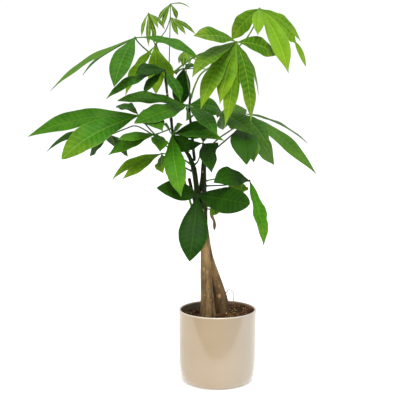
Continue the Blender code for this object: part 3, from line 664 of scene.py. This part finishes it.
def leaflet(builder, hub, hub_r, values, rng, extra, sides=(0, 1)):
    """One leaflet: a thin closed blade with a folded midrib, domed halves, quilting between
    its side veins and a waving edge."""
    u, v, depth, width, bearing, pitch, rise, bow = values
    tip = at(u, v, depth)
    along = tip - hub
    g, f = math.radians(bearing), math.radians(pitch)
    face = Vector((math.sin(g) * math.cos(f), -math.cos(g) * math.cos(f), math.sin(f)))
    axis = along.normalized()
    up = (face - axis * face.dot(axis)).normalized()
    across = axis.cross(up)
    length = along.length
    width, rise, bow = width * MM, rise * MM, bow * MM
    start = axis * hub_r * 0.6
    p = extra.get("p", rng.uniform(1.15, 1.30))
    q = extra.get("q", rng.uniform(1.05, 1.25))
    fold = math.radians(extra.get("fold", rng.uniform(13, 25)))
    dome = extra.get("dome", rng.uniform(0.16, 0.34))
    twist = math.radians(extra.get("twist", rng.uniform(-9, 9)))
    wave = extra.get("wave", rng.uniform(0.8, 1.8)) * min(1.0, width / 0.03) * MM
    waves = rng.uniform(2.0, 3.4)
    shift = rng.uniform(0, 1)
    curl = extra.get("curl", rng.uniform(-1.5, 3.0)) * MM
    pairs = max(5, round(length / 0.0105))
    quilt = extra.get("quilt", 0.6) * MM * min(1.0, width / 0.03)
    thick = 0.00032
    tint = extra.get("tint", rng.uniform(0.2, 0.8))

    def middle(t):
        swing = 4 * t * (1 - t)
        return hub + start + (along - start) * t + (up * rise + across * bow) * swing - up * curl * math.sin(2 * math.pi * t) * 0.5

    drip = extra.get("drip", 0.25)
    ragged = extra.get("ragged", 0.02)
    seed = rng.uniform(0, 50)
    pinch = extra.get("pinch")

    def half(t, s):
        # The outline: widest past the middle, drawn out into a drip tip, its edge never quite even.
        w = width * 0.5 * max(0.0, math.sin(math.pi * t**p)) ** q * (1 - drip * math.exp(-(((1 - t) / 0.13) ** 2)))
        if pinch and t > pinch:
            # Past the pinch the blade opens again into one small lobe.
            w = width * 0.34 * max(0.0, math.sin(math.pi * ((t - pinch) / (1 - pinch)) ** 0.85)) ** 0.9
        elif pinch:
            w *= 1 - 0.88 * math.exp(-(((pinch - t) / 0.06) ** 2))
        if pinch:
            # The twisted neck still holds the lobe.
            w = max(w, 0.0018 * min(1.0, t / 0.1, (1 - t) / 0.15))
        w *= 1 + ragged * noise.noise(Vector((t * 11, s * 3, seed))) + 0.6 * ragged * noise.noise(Vector((t * 31, s * 3, seed)))
        return w + 0.0006 * (1 - t)

    rows_top, rows_low, leaf, rib_mm = [], [], [], []
    points = []
    rows = []
    for i in range(ALONG):
        t = (i / ALONG) ** 0.97
        ahead = (middle(t + 0.005) - middle(t - 0.005)).normalized()
        out = (across - ahead * across.dot(ahead)).normalized()
        top = out.cross(ahead)
        turn = twist * (t - 0.35)
        out, top = out * math.cos(turn) + top * math.sin(turn), top * math.cos(turn) - out * math.sin(turn)
        sides_w = (half(t, -1), half(t, 1))
        centre = middle(t)
        rib = 0.0009 * (1 - t) ** 0.8 + 0.0002
        row_top, row_low = [], []
        for j in range(ACROSS + 1):
            s = 2 * j / ACROSS - 1
            a = abs(s)
            w = sides_w[0] if s < 0 else sides_w[1] if s > 0 else 0.5 * sum(sides_w)
            phase = t * pairs - 0.20 * pairs * a * (1.0 - 0.35 * a) * (width / 2) / length * 3.2
            lift = w * (math.sin(fold) * a - dome * a * a)
            lift += wave * a * a * math.sin(2 * math.pi * (waves * t + shift) + (1.9 if s > 0 else 0.0)) * math.sin(math.pi * min(1.0, t * 1.1))
            lift -= quilt * (0.5 - 0.5 * math.cos(2 * math.pi * (phase + 0.5))) * math.sin(math.pi * a) * (0.35 + 0.65 * math.sin(math.pi * t)) * min(1.0, w / 0.008) * -1.0
            spot = centre + out * (s * w * math.cos(fold)) + top * lift
            groove = math.exp(-((a * w / 0.0009) ** 2))
            if j in (0, ACROSS):
                row_top.append(len(points))
                row_low.append(len(points))
                points.append(spot)
                leaf.append((a, t, phase))
                rib_mm.append(a * w / MM)
            else:
                row_top.append(len(points))
                points.append(spot + top * (thick - 0.0003 * groove))
                leaf.append((a, t, phase))
                rib_mm.append(a * w / MM)
                row_low.append(len(points))
                points.append(spot - top * (thick + rib * groove))
                leaf.append((a, t, phase))
                rib_mm.append(a * w / MM)
        rows.append((row_top, row_low))
    end = len(points)
    points.append(middle(1.0))
    leaf.append((0.5, 1.0, float(pairs)))
    rib_mm.append(1.0)
    top_faces, low_faces = [], []
    for (ta, la), (tb, lb) in zip(rows, rows[1:]):
        for j in range(ACROSS):
            top_faces.append((ta[j], ta[j + 1], tb[j + 1], tb[j]))
            low_faces.append((la[j + 1], la[j], lb[j], lb[j + 1]))
    for j in range(ACROSS):
        top_faces.append((rows[-1][0][j], rows[-1][0][j + 1], end))
        low_faces.append((rows[-1][1][j + 1], rows[-1][1][j], end))
    cap = rows[0][0] + rows[0][1][-2:0:-1]
    top_faces.append(tuple(reversed(cap)))
    base_tint = tint
    first = len(builder.points)
    builder.add(points, top_faces, sides[0], leaf, rib_mm, base_tint)
    builder.faces += [tuple(first + k for k in f) for f in low_faces]
    builder.materials += [sides[1]] * len(low_faces)
    # The little stalk that the leaflet stands on.
    route = [(middle(t) - up * 0.0002, r) for t, r in ((0.0, 0.0011), (0.03, 0.0010), (0.07, 0.0008), (0.11, 0.0005))]
    builder.add(*tube(route, 8), 2)


# Leaflets that stand out from the rest in their outline, folds or tone; the dark tone paints shade and the grey tone
# paints sheen.
EXTRA = {
    ("leaf_04_upper_left", 0): {"drip": 0.5, "p": 1.25, "q": 1.25, "wave": 1.2, "tone": "grey", "tint": 1.1},
    ("leaf_04_upper_left", 2): {"p": 1.2, "q": 0.85, "tint": 0.4},
    ("leaf_05_lime", 1): {"p": 1.2, "q": 0.8, "tint": 0.9, "wave": 1.6},
    ("leaf_05_lime", 0): {"p": 1.1, "q": 1.1, "tint": 0.5, "wave": 1.6},
    ("leaf_06_shaded", 0): {"p": 1.25, "q": 0.75, "tint": 0.3},
    ("leaf_06_shaded", 2): {"tone": "mid", "tint": 0.1},
    ("leaf_06_shaded", 3): {"tone": "mid", "tint": 0.0},
    ("leaf_08_shaded", 0): {"p": 1.1, "q": 0.7, "tint": 0.3},
    ("leaf_09_right_front", 0): {"tint": 0.1},
    ("leaf_09_right_front", 1): {"p": 1.15, "q": 1.0, "tint": 0.25},
    ("leaf_09_right_front", 2): {"drip": 0.5, "p": 1.15, "q": 0.95, "wave": 1.8, "tint": 0.35},
    ("leaf_09_right_front", 5): {"drip": 0.5, "p": 1.1, "q": 0.95, "wave": 1.8, "tint": 0.0},
    ("leaf_09_right_front", 3): {"p": 1.15, "wave": 1.8, "tint": 0.6},
    ("leaf_09_right_front", 4): {"drip": 0.6, "p": 1.1, "tint": 0.5},
    ("leaf_09_right_front", 6): {"tint": 0.5},
    ("leaf_09_right_front", 7): {"p": 1.1, "q": 1.15, "tint": -0.2},
    ("leaf_10_top_right", 0): {"p": 1.1, "q": 0.9, "tint": 0.4},
    ("leaf_10_top_right", 2): {"drip": 0.5, "p": 1.2, "q": 1.0, "wave": 1.4, "tint": 0.8},
    ("leaf_10_top_right", 4): {"pinch": 0.66, "tint": 0.6},
    ("leaf_11_centre", 0): {"p": 1.5, "q": 0.75, "tint": 0.5},
    ("leaf_11_centre", 1): {"p": 1.3, "q": 0.75, "wave": 1.6, "tint": 0.4},
    ("leaf_12_left_long", 0): {"p": 1.25, "q": 0.95, "wave": 1.2, "tint": 0.5},
    ("leaf_12_left_long", 1): {"drip": 0.0, "ragged": 0.05, "p": 1.35, "q": 0.75, "wave": 1.6, "quilt": 1.0, "tone": "tipped", "tint": 0.35},
    ("leaf_16_front_centre", 0): {"ragged": 0.10, "drip": 0.5, "p": 1.2, "q": 0.95, "wave": 1.8, "tint": 0.6},
    ("leaf_16_front_centre", 1): {"tint": 0.3},
    ("leaf_16_front_centre", 2): {"tone": "dark", "tint": 0.5},
    ("leaf_16_front_centre", 3): {"tone": "dark", "tint": 0.5},
    ("leaf_18_right_long", 2): {"p": 1.15, "q": 1.1, "wave": 1.2, "tint": 0.6},
    ("leaf_19_right_hanging", 0): {"p": 1.05, "q": 0.8, "dome": 0.2, "tint": 0.9},
    ("leaf_19_right_hanging", 1): {"tone": "grey", "tint": 1.0},
    ("leaf_21_right_low", 0): {"p": 1.2, "q": 0.85, "tint": 0.55},
    ("leaf_21_right_low", 1): {"ragged": 0.12, "drip": 0.5, "p": 1.15, "q": 0.8, "wave": 2.4, "tone": "fresh", "tint": 0.5},
    ("leaf_23_front_low", 0): {"drip": 0.1, "p": 1.15, "q": 0.80, "dome": 0.2, "tint": 0.45},
    ("leaf_23_front_low", 1): {"drip": 0.1, "p": 1.4, "q": 0.85, "dome": 0.22, "fold": 10, "wave": 0.5, "tint": 0.3},
    ("leaf_23_front_low", 2): {"drip": 0.0, "p": 1.55, "q": 0.62, "dome": 0.24, "fold": 10, "wave": 0.6, "tint": 0.4},
}


def make_leaf(name):
    tone, stem, hub_place, stalk, (hub_r, foot_r), leaflets = LEAVES[name]
    rng = random.Random(name)
    hub = at(*hub_place)
    builder = Builder()
    places = [(*hub,)] + [(*at(*p),) for p in stalk]
    near, r = nearest_on_stem(Vector(places[-1]), stem)
    foot = near + (Vector(places[-1]) - near).normalized() * (r * 0.55)
    places[-1] = (*foot,)
    smooth = smooth_route(places, 8)
    total = sum((Vector(a) - Vector(b)).length for a, b in zip(smooth, smooth[1:]))
    route, run = [], 0.0
    for i, place in enumerate(smooth):
        if i:
            run += (Vector(place) - Vector(smooth[i - 1])).length
        share = run / total
        radius = (hub_r + (foot_r - hub_r) * share**2) * MM
        radius *= 1 + 0.55 * math.exp(-((run - total) / 0.006) ** 2) + 0.35 * math.exp(-((run) / 0.004) ** 2)
        route.append((Vector(place), radius))
    builder.add(*tube(route, 12), 2)
    ball = bmesh.new()
    bmesh.ops.create_icosphere(ball, subdivisions=2, radius=hub_r * 1.5 * MM)
    builder.add([v.co + hub for v in ball.verts], [tuple(v.index for v in f.verts) for f in ball.faces], 2)
    ball.free()
    mats = list(LEAF_MATERIALS[tone])
    for i, values in enumerate(leaflets):
        extra = EXTRA.get((name, i), {})
        sides = (0, 1)
        if "tone" in extra:
            sides = (len(mats), len(mats) + 1)
            mats += LEAF_MATERIALS[extra["tone"]][:2]
        leaflet(builder, hub, hub_r * MM, values, rng, extra, sides)
    builder.build(name + "_look", mats, "leaf_" + tone, (name,), 70)


# ---------------------------------------------------------------- stems

bark = Nodes("bark", 0.8, 0.3)
height = bark.split(bark.coords)[2]
grain = bark.noise(70.0, 6.0, 0.65, (1, 1, 0.22))
fine = bark.noise(420.0, 5.0, 0.65, (1, 1, 0.5))
patches = bark.noise(26.0, 3.0, 0.5)
spots = bark.voronoi(95.0, "F1", (1.0, 1.0, 0.55))
brown = bark.mix(bark.ramp(grain, 0.30, 0.68), srgb(52, 36, 16), srgb(182, 146, 96))
brown = bark.mix(bark.math("MULTIPLY", bark.ramp(patches, 0.45, 0.75), 0.5), brown, srgb(104, 96, 58))
# Painted shade: the bark is darkened towards its right side (+x), where the groove between the trunks falls into shade.
# Random dark patches are added on top, and the bark gets darker towards the bottom.
dark = bark.math("ADD", bark.math("MULTIPLY", bark.ramp(bark.split(bark.coords)[0], -0.006, 0.005), 0.38), bark.math("MULTIPLY", bark.ramp(patches, 0.52, 0.40), 0.30))
dark = bark.math("ADD", dark, bark.math("MULTIPLY", bark.ramp(height, 0.235, 0.15), 0.30))
brown = bark.mix(dark, brown, srgb(58, 40, 18))
olive = bark.mix(bark.ramp(grain, 0.25, 0.75), srgb(14, 26, 6), srgb(48, 60, 22))
edge = bark.math("ADD", height, bark.math("MULTIPLY", bark.math("SUBTRACT", patches, 0.5), 0.05))
skin = bark.mix(bark.ramp(edge, 0.262, 0.305), brown, olive)
lenticel = bark.math("MULTIPLY", bark.ramp(spots, 0.26, 0.14), bark.ramp(fine, 0.35, 0.55))
skin = bark.mix(bark.math("MULTIPLY", lenticel, 0.60), skin, srgb(188, 158, 112))
bark.colour(skin)
bark.rough(bark.math("ADD", bark.math("MULTIPLY", fine, 0.25), 0.62))
rise = bark.math("ADD", bark.math("MULTIPLY", grain, 0.8), bark.math("MULTIPLY", fine, 0.35))
bark.bump(bark.math("ADD", rise, bark.math("MULTIPLY", lenticel, 0.4)), 0.0026, 1.0)

green = Nodes("green_stem", 0.55, 0.2)
grain = green.noise(110.0, 5.0, 0.6, (1, 1, 0.25))
spots = green.voronoi(240.0, "F1", (1.0, 1.0, 0.6))
skin = green.mix(green.ramp(grain, 0.3, 0.75), srgb(12, 26, 6), srgb(40, 62, 20))
skin = green.mix(green.math("MULTIPLY", green.ramp(spots, 0.22, 0.12), 0.35), skin, srgb(120, 124, 70))
green.colour(skin)
green.rough(green.math("ADD", green.math("MULTIPLY", grain, 0.2), 0.42))
green.bump(green.math("ADD", grain, green.math("MULTIPLY", spots, -0.3)), 0.0008, 0.7)

dry = Nodes("dry_wood", 0.85, 0.2)
grain = dry.noise(160.0, 6.0, 0.7, (1, 1, 0.2))
dry.colour(dry.mix(dry.ramp(grain, 0.25, 0.75), srgb(84, 60, 32), srgb(172, 134, 90)))
dry.rough(dry.math("ADD", dry.math("MULTIPLY", grain, 0.2), 0.7))
dry.bump(grain, 0.0014, 0.9)

stub = Nodes("dark_dry_wood", 0.85, 0.15)
grain = stub.noise(160.0, 6.0, 0.7, (1, 1, 0.2))
stub.colour(stub.mix(stub.ramp(grain, 0.35, 0.85), srgb(20, 18, 10), srgb(64, 50, 30)))
stub.bump(grain, 0.0014, 0.9)

scar = Nodes("leaf_scar", 0.8, 0.2)
grain = scar.noise(300.0, 5.0, 0.7)
scar.colour(scar.mix(scar.ramp(grain, 0.3, 0.7), srgb(140, 100, 58), srgb(200, 160, 112)))
scar.rough(scar.math("ADD", scar.math("MULTIPLY", grain, 0.2), 0.65))
scar.bump(grain, 0.0006, 0.7)


def bark_shape(seed, depth, stretch=0.35):
    def shape(share, angle, centre, way):
        p = Vector((way.x * 2.2, way.y * 2.2, centre.z * 60 * stretch)) + Vector((seed, seed * 2, 0))
        big = noise.noise(p)
        small = noise.noise(Vector((way.x * 7, way.y * 7, centre.z * 240)) + Vector((0, seed, seed)))
        return 1 + depth * (0.7 * big + 0.3 * small)

    return shape


def pressed(base, side):
    """The bark bulges towards the other trunk, where the two are pressed together."""

    def shape(share, angle, centre, way):
        return base(share, angle, centre, way) + 0.2 * max(0.0, side * way.y) ** 2

    return shape


STEM_PIECES = {}
for name in ("trunk_front", "trunk_right"):
    route = stem_route(name, 9)
    foot, radius = route[0]
    low = foot.copy()
    low.z = SOIL_TOP - 0.02
    # The flare of the roots where the trunk meets the soil.
    route = [(low, radius * 1.02)] + [(c, r * (1 + 0.05 * math.exp(-((c.z - SOIL_TOP) / 0.010) ** 2))) for c, r in route]
    builder = Builder()
    front = name == "trunk_front"
    builder.add(*tube(route, 56, pressed(bark_shape(3 if front else 11, 0.10), 1 if front else -1)), 0)
    STEM_PIECES[name] = builder
for name, sides in (("shoot_left", 26), ("shoot_middle", 22)):
    rings = {"shoot_left": (0.1, 0.21, 0.3, 0.36, 0.43, 0.5, 0.58, 0.66, 0.75, 0.84, 0.93), "shoot_middle": (0.15, 0.32, 0.5, 0.66, 0.82, 0.93)}[name]

    def shape(share, angle, centre, way, rings=rings, base=bark_shape(7, 0.06)):
        swell = sum(math.exp(-((share - r) / 0.008) ** 2) for r in rings)
        return base(share, angle, centre, way) * (1 + 0.14 * swell)

    builder = Builder()
    route = stem_route(name, 9)
    if name == "shoot_middle":
        near, r = nearest_on_stem(route[0][0], "shoot_left")
        route = [(near, route[0][1])] + route
    else:
        near, r = nearest_on_stem(route[0][0], "trunk_front")
        route = [(near + (route[0][0] - near).normalized() * r * 0.6, route[0][1])] + route
    builder.add(*tube(route, sides, shape), 0)
    STEM_PIECES[name] = builder
for name in ("pruned_stub", "dry_twig"):
    builder = Builder()
    route = stem_route(name, 8)
    if name == "dry_twig":
        # Crooked, with small knots.
        route = [(c + Vector((0.0013 * math.sin(11 * i / len(route)), 0, 0)), r * (1.08 + 0.22 * math.sin(17 * i / len(route)))) for i, (c, r) in enumerate(route)]
    near, r = nearest_on_stem(route[0][0], "trunk_front")
    route = [(near + (route[0][0] - near).normalized() * r * 0.6, route[0][1])] + route
    builder.add(*tube(route, 20, bark_shape(5, 0.16, 0.8)), 0)
    STEM_PIECES[name] = builder

# Pale leaf scars and lenticels that stand a little proud of the bark, at places on the sheet.
SCARS = [
    # u, v, half width, half height (in mm)
    (-14.0, 141.0, 2.1, 3.8), (-14.2, 122.0, 1.9, 4.6), (-10.8, 119.0, 1.8, 3.4), (1.2, 95.0, 3.4, 4.8), (8.6, 76.5, 2.4, 4.4),
    (-12.2, 133.0, 1.0, 1.6), (-9.0, 104.0, 1.0, 1.8), (-13.4, 96.0, 1.2, 2.0), (-16.0, 152.0, 1.0, 2.0), (-2.0, 112.0, 1.1, 1.8), (4.6, 88.0, 1.1, 1.6), (-7.4, 84.0, 1.2, 1.6),
]
rng = random.Random(41)
for u, v, half_w, half_h in SCARS:
    start = EYE
    way = (at(u, v, 0) - EYE).normalized()
    best = None
    for name in ("trunk_front", "trunk_right"):
        tree = BVHTree.FromPolygons([Vector(p) for p in STEM_PIECES[name].points], STEM_PIECES[name].faces)
        hit, normal, _, distance = tree.ray_cast(start, way)
        if hit and (best is None or distance < best[2]):
            best = (hit, normal if normal.dot(way) < 0 else -normal, distance, name)
    if not best:
        continue
    hit, normal, _, name = best
    side = Vector((0, 0, 1)).cross(normal).normalized()
    tall = normal.cross(side)
    points, faces = [], []
    count = 14
    for ring, (share, lift) in enumerate(((1.0, -0.0004), (0.85, 0.0002), (0.5, 0.00045), (0.0, 0.00035))):
        if share == 0:
            points.append(hit + normal * lift)
            continue
        for k in range(count):
            a = 2 * math.pi * k / count
            wobble = 1 + 0.16 * noise.noise(Vector((math.cos(a) * 1.7 + u, math.sin(a) * 1.7 + v, 0)))
            points.append(hit + side * math.cos(a) * half_w * MM * share * wobble + tall * math.sin(a) * half_h * MM * share * wobble + normal * lift)
    for ring in range(2):
        for k in range(count):
            a, b = ring * count + k, ring * count + (k + 1) % count
            faces.append((a, b, b + count, a + count))
    for k in range(count):
        faces.append((2 * count + k, 2 * count + (k + 1) % count, 3 * count))
    faces.append(tuple(reversed(range(count))))
    STEM_PIECES[name].add(points, faces, 1)

for name, slot_name, mat in (
    ("trunk_front", "bark", bark.mat), ("trunk_right", "bark", bark.mat),
    ("shoot_left", "green_stem", green.mat), ("shoot_middle", "green_stem", green.mat),
    ("pruned_stub", "dry_wood", stub.mat), ("dry_twig", "dry_wood", dry.mat),
):
    STEM_PIECES[name].build(name + "_look", [mat, scar.mat], slot_name, (name,))

root = Nodes("dry_rootlet", 0.8, 0.2)
grain = root.noise(400.0, 4.0)
root.colour(root.mix(grain, srgb(130, 120, 100), srgb(180, 170, 148)))
root.bump(grain, 0.0005, 0.6)
route = [(at(u, v, d), r * MM) for u, v, d, r in smooth_route(ROOTLET, 8)]
near, r = nearest_on_stem(route[0][0], "trunk_right")
route[0] = (near + (route[0][0] - near).normalized() * r * 0.9, route[0][1])
builder = Builder()
builder.add(*tube(route, 12, bark_shape(2, 0.2, 2.0)), 0)
builder.build("dry_rootlet_look", [root.mat], "dry_root", ("dry_rootlet",))

for leaf_name in LEAVES:
    make_leaf(leaf_name)


# ---------------------------------------------------------------- pot and soil

glaze = Nodes("pot_glaze", 0.12, 0.5, coat=0.45, coat_roughness=0.03)
drift = glaze.noise(9.0, 3.0, 0.5)
speck = glaze.noise(900.0, 2.0, 0.5)
place = glaze.split(glaze.coords)
body = glaze.mix(glaze.ramp(drift, 0.3, 0.7), srgb(172, 152, 125), srgb(178, 160, 134))
body = glaze.mix(glaze.math("MULTIPLY", glaze.ramp(speck, 0.68, 0.78), 0.10), body, srgb(170, 150, 120))
# A painted highlight: the top of the rim is whitened into a bright line.
body = glaze.mix(glaze.math("MULTIPLY", glaze.ramp(place[2], 0.1397, 0.1412), 0.8), body, srgb(240, 232, 218))
# Painted shade on the inside wall below the rim: darker grey towards the left, orange-brown towards the right, blotched
# by noise.
radius = glaze.math("SQRT", glaze.math("ADD", glaze.math("POWER", place[0], 2.0), glaze.math("POWER", place[1], 2.0)))
inside = glaze.math("MULTIPLY", glaze.ramp(radius, 0.0728, 0.0712), glaze.ramp(place[2], 0.1412, 0.1365))
inside = glaze.math("MULTIPLY", inside, glaze.ramp(place[2], 0.05, 0.09))
inside = glaze.math("MULTIPLY", inside, glaze.ramp(glaze.noise(60.0), 0.2, 0.7, 0.65, 1.0))
inner_wall_shade = glaze.mix(glaze.ramp(place[0], 0.0, 0.065), srgb(92, 86, 70), srgb(150, 92, 48))
body = glaze.mix(glaze.math("MULTIPLY", inside, 0.85), body, inner_wall_shade)
# Painted light: the outside of the pot turns a cooler grey towards its right side, standing in for the bluish light
# from the right.
painted_cool_light = glaze.math("MULTIPLY", glaze.ramp(place[0], -0.01, 0.07), 0.6)
glaze.colour(glaze.mix(glaze.math("MULTIPLY", painted_cool_light, glaze.ramp(inside, 0.3, 0.0)), body, srgb(168, 159, 146)))
glaze.rough(glaze.math("ADD", glaze.math("MULTIPLY", glaze.noise(40.0), 0.08), 0.12))
glaze.bump(glaze.math("ADD", glaze.noise(28.0, 2.0), glaze.math("MULTIPLY", glaze.noise(500.0, 2.0), 0.05)), 0.0006, 0.35)

inner_r = POT_RIM_R - POT_WALL
outer = [(POT_BASE_R - 0.002, 0.0), (POT_BASE_R + 0.0008, 0.0002)]
for k in range(2, 13):
    a = math.radians(-90 + 6.6 * k)
    outer.append((POT_BASE_R + POT_FOOT_ROUND * math.cos(a), POT_FOOT_TALL * (1 + math.sin(a))))
outer += [(POT_RIM_R - 0.0018, 0.034), (POT_RIM_R - 0.0011, 0.060), (POT_RIM_R - 0.0004, 0.100)]
profile = [(0, 0.0012), (POT_BASE_R - 0.010, 0.0012), (POT_BASE_R - 0.007, 0.0)]
profile += [(r, z) for r, z in smooth_route(outer, 3)]
for k in range(0, 13):
    a = math.radians(0 + 15 * k)
    profile.append((POT_RIM_R - POT_WALL / 2 + POT_WALL / 2 * math.cos(a), POT_HEIGHT - POT_WALL / 2 + POT_WALL / 2 * math.sin(a)))
profile += [(inner_r - 0.0006, 0.110), (inner_r - 0.0018, 0.050), (inner_r - 0.0024, 0.030), (POT_BASE_R - 0.002, 0.012), (POT_BASE_R - 0.007, POT_FLOOR), (0, POT_FLOOR)]
builder = Builder()
builder.add(*lathe(profile, 160), 0)
builder.build("pot_look", [glaze.mat], "pot_glaze", ("pot",), 60)

mix = Nodes("soil_mix", 0.95, 0.15)
crumbs = mix.noise(260.0, 6.0, 0.7)
mix.colour(mix.mix(mix.ramp(crumbs, 0.3, 0.75), srgb(30, 18, 10), srgb(92, 62, 38)))
mix.bump(crumbs, 0.003, 1.0)
chip = Nodes("bark_chips", 0.85, 0.25)
shade = chip.attribute("tint")
grain = chip.noise(300.0, 5.0, 0.65)
colour = chip.mix(chip.ramp(shade, 0.0, 0.55), srgb(38, 22, 12), srgb(112, 76, 44))
colour = chip.mix(chip.ramp(shade, 0.8, 0.95), colour, srgb(186, 160, 104))
chip.colour(chip.mix(chip.math("MULTIPLY", grain, 0.5), colour, srgb(48, 30, 18)))
chip.bump(grain, 0.0012, 0.9)


def soil_height(x, y):
    mounds = 0.0012 * math.sin(95 * x + 0.8) * math.cos(80 * y - 0.5) + 0.0008 * math.sin(170 * x - 140 * y)
    return SOIL_TOP + 0.055 * x + 0.012 * y + mounds


def soil_surface(x, y):
    rough = noise.fractal(Vector((x * 160, y * 160, 0.3)), 0.6, 2.2, 4)
    return soil_height(x, y) + 0.0016 * rough


builder = Builder()
rings, sides = 44, 120
limit = inner_r - 0.0009
points, faces = [], []
for i in range(rings + 1):
    r = limit * (i + 0.4) / (rings + 0.4)
    for k in range(sides):
        a = 2 * math.pi * (k + 0.5 * (i % 2)) / sides
        x, y = r * math.cos(a), r * math.sin(a)
        points.append((x, y, soil_surface(x, y)))
for k in range(sides):
    a = 2 * math.pi * k / sides
    points.append((limit * math.cos(a), limit * math.sin(a), SOIL_TOP - 0.020))
for i in range(rings + 1):
    for k in range(sides):
        a, b = i * sides + k, i * sides + (k + 1) % sides
        faces.append((a, b, b + sides, a + sides))
faces.append(tuple(range(sides)))
last = (rings + 1) * sides
faces.append(tuple(reversed(range(last, last + sides))))
builder.add(points, faces, 0)
builder.build("soil_look", [mix.mat], "soil_mix", ("soil",), 180)

rng = random.Random(7)
builder = Builder()
trunk_feet = [stem_route(n)[0] for n in ("trunk_front", "trunk_right")]
made = 0
while made < 950:
    r = (limit - 0.003) * math.sqrt(rng.random())
    a = rng.uniform(0, 2 * math.pi)
    x, y = r * math.cos(a), r * math.sin(a)
    size = rng.choice((0.8, 1.1, 1.4, 1.8, 2.5)) * MM * rng.uniform(0.8, 1.2)
    if any((Vector((x, y)) - c.xy).length < rr + size * 0.7 for c, rr in trunk_feet):
        continue
    if r > limit - size * 1.3:
        continue
    z = soil_surface(x, y) + size * 0.22
    turn = Matrix.Rotation(rng.uniform(0, 6.28), 3, "Z") @ Matrix.Rotation(rng.uniform(-0.5, 0.5), 3, "X") @ Matrix.Rotation(rng.uniform(-0.5, 0.5), 3, "Y")
    stretch = Vector((rng.uniform(1.0, 1.9), rng.uniform(0.6, 1.0), rng.uniform(0.28, 0.55)))
    ball = bmesh.new()
    bmesh.ops.create_icosphere(ball, subdivisions=1, radius=size)
    seed = Vector((made * 1.37, made * 0.71, 0))
    points = []
    for vert in ball.verts:
        c = vert.co * (1 + 0.45 * noise.noise(vert.co / size * 1.3 + seed))
        points.append(turn @ Vector((c.x * stretch.x, c.y * stretch.y, c.z * stretch.z)) + Vector((x, y, z)))
    faces = [tuple(vt.index for vt in f.verts) for f in ball.faces]
    ball.free()
    builder.add(points, faces, 0, None, None, rng.random())
    made += 1
builder.build("bark_chips_look", [chip.mat], "soil_mix", (), 35)


# ---------------------------------------------------------------- floor and light

paper = Nodes("studio_floor", 0.9, 0.1)
paper.shader.inputs["Base Color"].default_value = (0.86, 0.86, 0.86, 1)
paper.shader.inputs["Emission Color"].default_value = (1.0, 0.99, 0.97, 1)
paper.shader.inputs["Emission Strength"].default_value = 0.32
floor_mesh = bpy.data.meshes.new("studio_floor")
floor_bm = bmesh.new()
bmesh.ops.create_grid(floor_bm, x_segments=8, y_segments=8, size=14)
floor_bm.to_mesh(floor_mesh)
floor_bm.free()
floor = bpy.data.objects.new("studio_floor", floor_mesh)
floor_mesh.materials.append(paper.mat)
bpy.context.scene.collection.objects.link(floor)

# The studio's darker ground starts in front of the paper: only the glaze mirrors it.
ground = Nodes("studio_ground", 0.9, 0.1)
ground.shader.inputs["Base Color"].default_value = (0.10, 0.085, 0.07, 1)
ground_mesh = bpy.data.meshes.new("studio_ground")
ground_mesh.from_pydata([(-4, -6, 0.0006), (4, -6, 0.0006), (4, -0.25, 0.0006), (-4, -0.25, 0.0006)], [], [(0, 1, 2, 3)])
ground_mesh.materials.append(ground.mat)
ground_obj = bpy.data.objects.new("studio_ground", ground_mesh)
bpy.context.scene.collection.objects.link(ground_obj)
ground_obj.visible_camera = False
ground_obj.visible_diffuse = False
ground_obj.visible_shadow = False
ground_obj.visible_transmission = False

world = bpy.data.worlds.new("studio")
bpy.context.scene.world = world
world.use_nodes = True
tree = world.node_tree
room = tree.nodes["Background"]
room.inputs["Color"].default_value = (1.0, 1.0, 1.0, 1)
room.inputs["Strength"].default_value = 0.55
behind = tree.nodes.new("ShaderNodeBackground")
behind.inputs["Color"].default_value = (1.0, 1.0, 1.0, 1)
behind.inputs["Strength"].default_value = 1.05
seen = tree.nodes.new("ShaderNodeLightPath")
pick = tree.nodes.new("ShaderNodeMixShader")
tree.links.new(seen.outputs["Is Camera Ray"], pick.inputs[0])
tree.links.new(room.outputs[0], pick.inputs[1])
tree.links.new(behind.outputs[0], pick.inputs[2])
tree.links.new(pick.outputs[0], tree.nodes["World Output"].inputs[0])


def area(name, place, aim, size, power, colour=(1, 1, 1)):
    light = bpy.data.lights.new(name, "AREA")
    light.shape = "RECTANGLE"
    light.size, light.size_y = size
    light.energy = power
    light.color = colour
    obj = bpy.data.objects.new(name, light)
    obj.location = place
    obj.rotation_euler = (Vector(aim) - Vector(place)).to_track_quat("-Z", "Y").to_euler()
    bpy.context.scene.collection.objects.link(obj)
    return obj


sun = bpy.data.lights.new("key_sun", "SUN")
sun.energy = 2.2
sun.angle = math.radians(32)
sun_obj = bpy.data.objects.new("key_sun", sun)
sun_obj.rotation_euler = Vector((-0.06, 0.50, -1.0)).to_track_quat("-Z", "Y").to_euler()
bpy.context.scene.collection.objects.link(sun_obj)
area("softbox_left", (-1.5, -1.3, 1.1), (0, 0, 0.35), (0.7, 1.3), 7, (1.0, 0.95, 0.86))
area("softbox_right", (1.6, -1.1, 1.0), (0, 0, 0.35), (0.6, 1.2), 4, (0.78, 0.90, 1.0))
area("top_box", (0.1, 0.3, 2.1), (0, 0, 0.5), (1.2, 1.2), 6)

bpy.context.scene.view_settings.view_transform = "Standard"
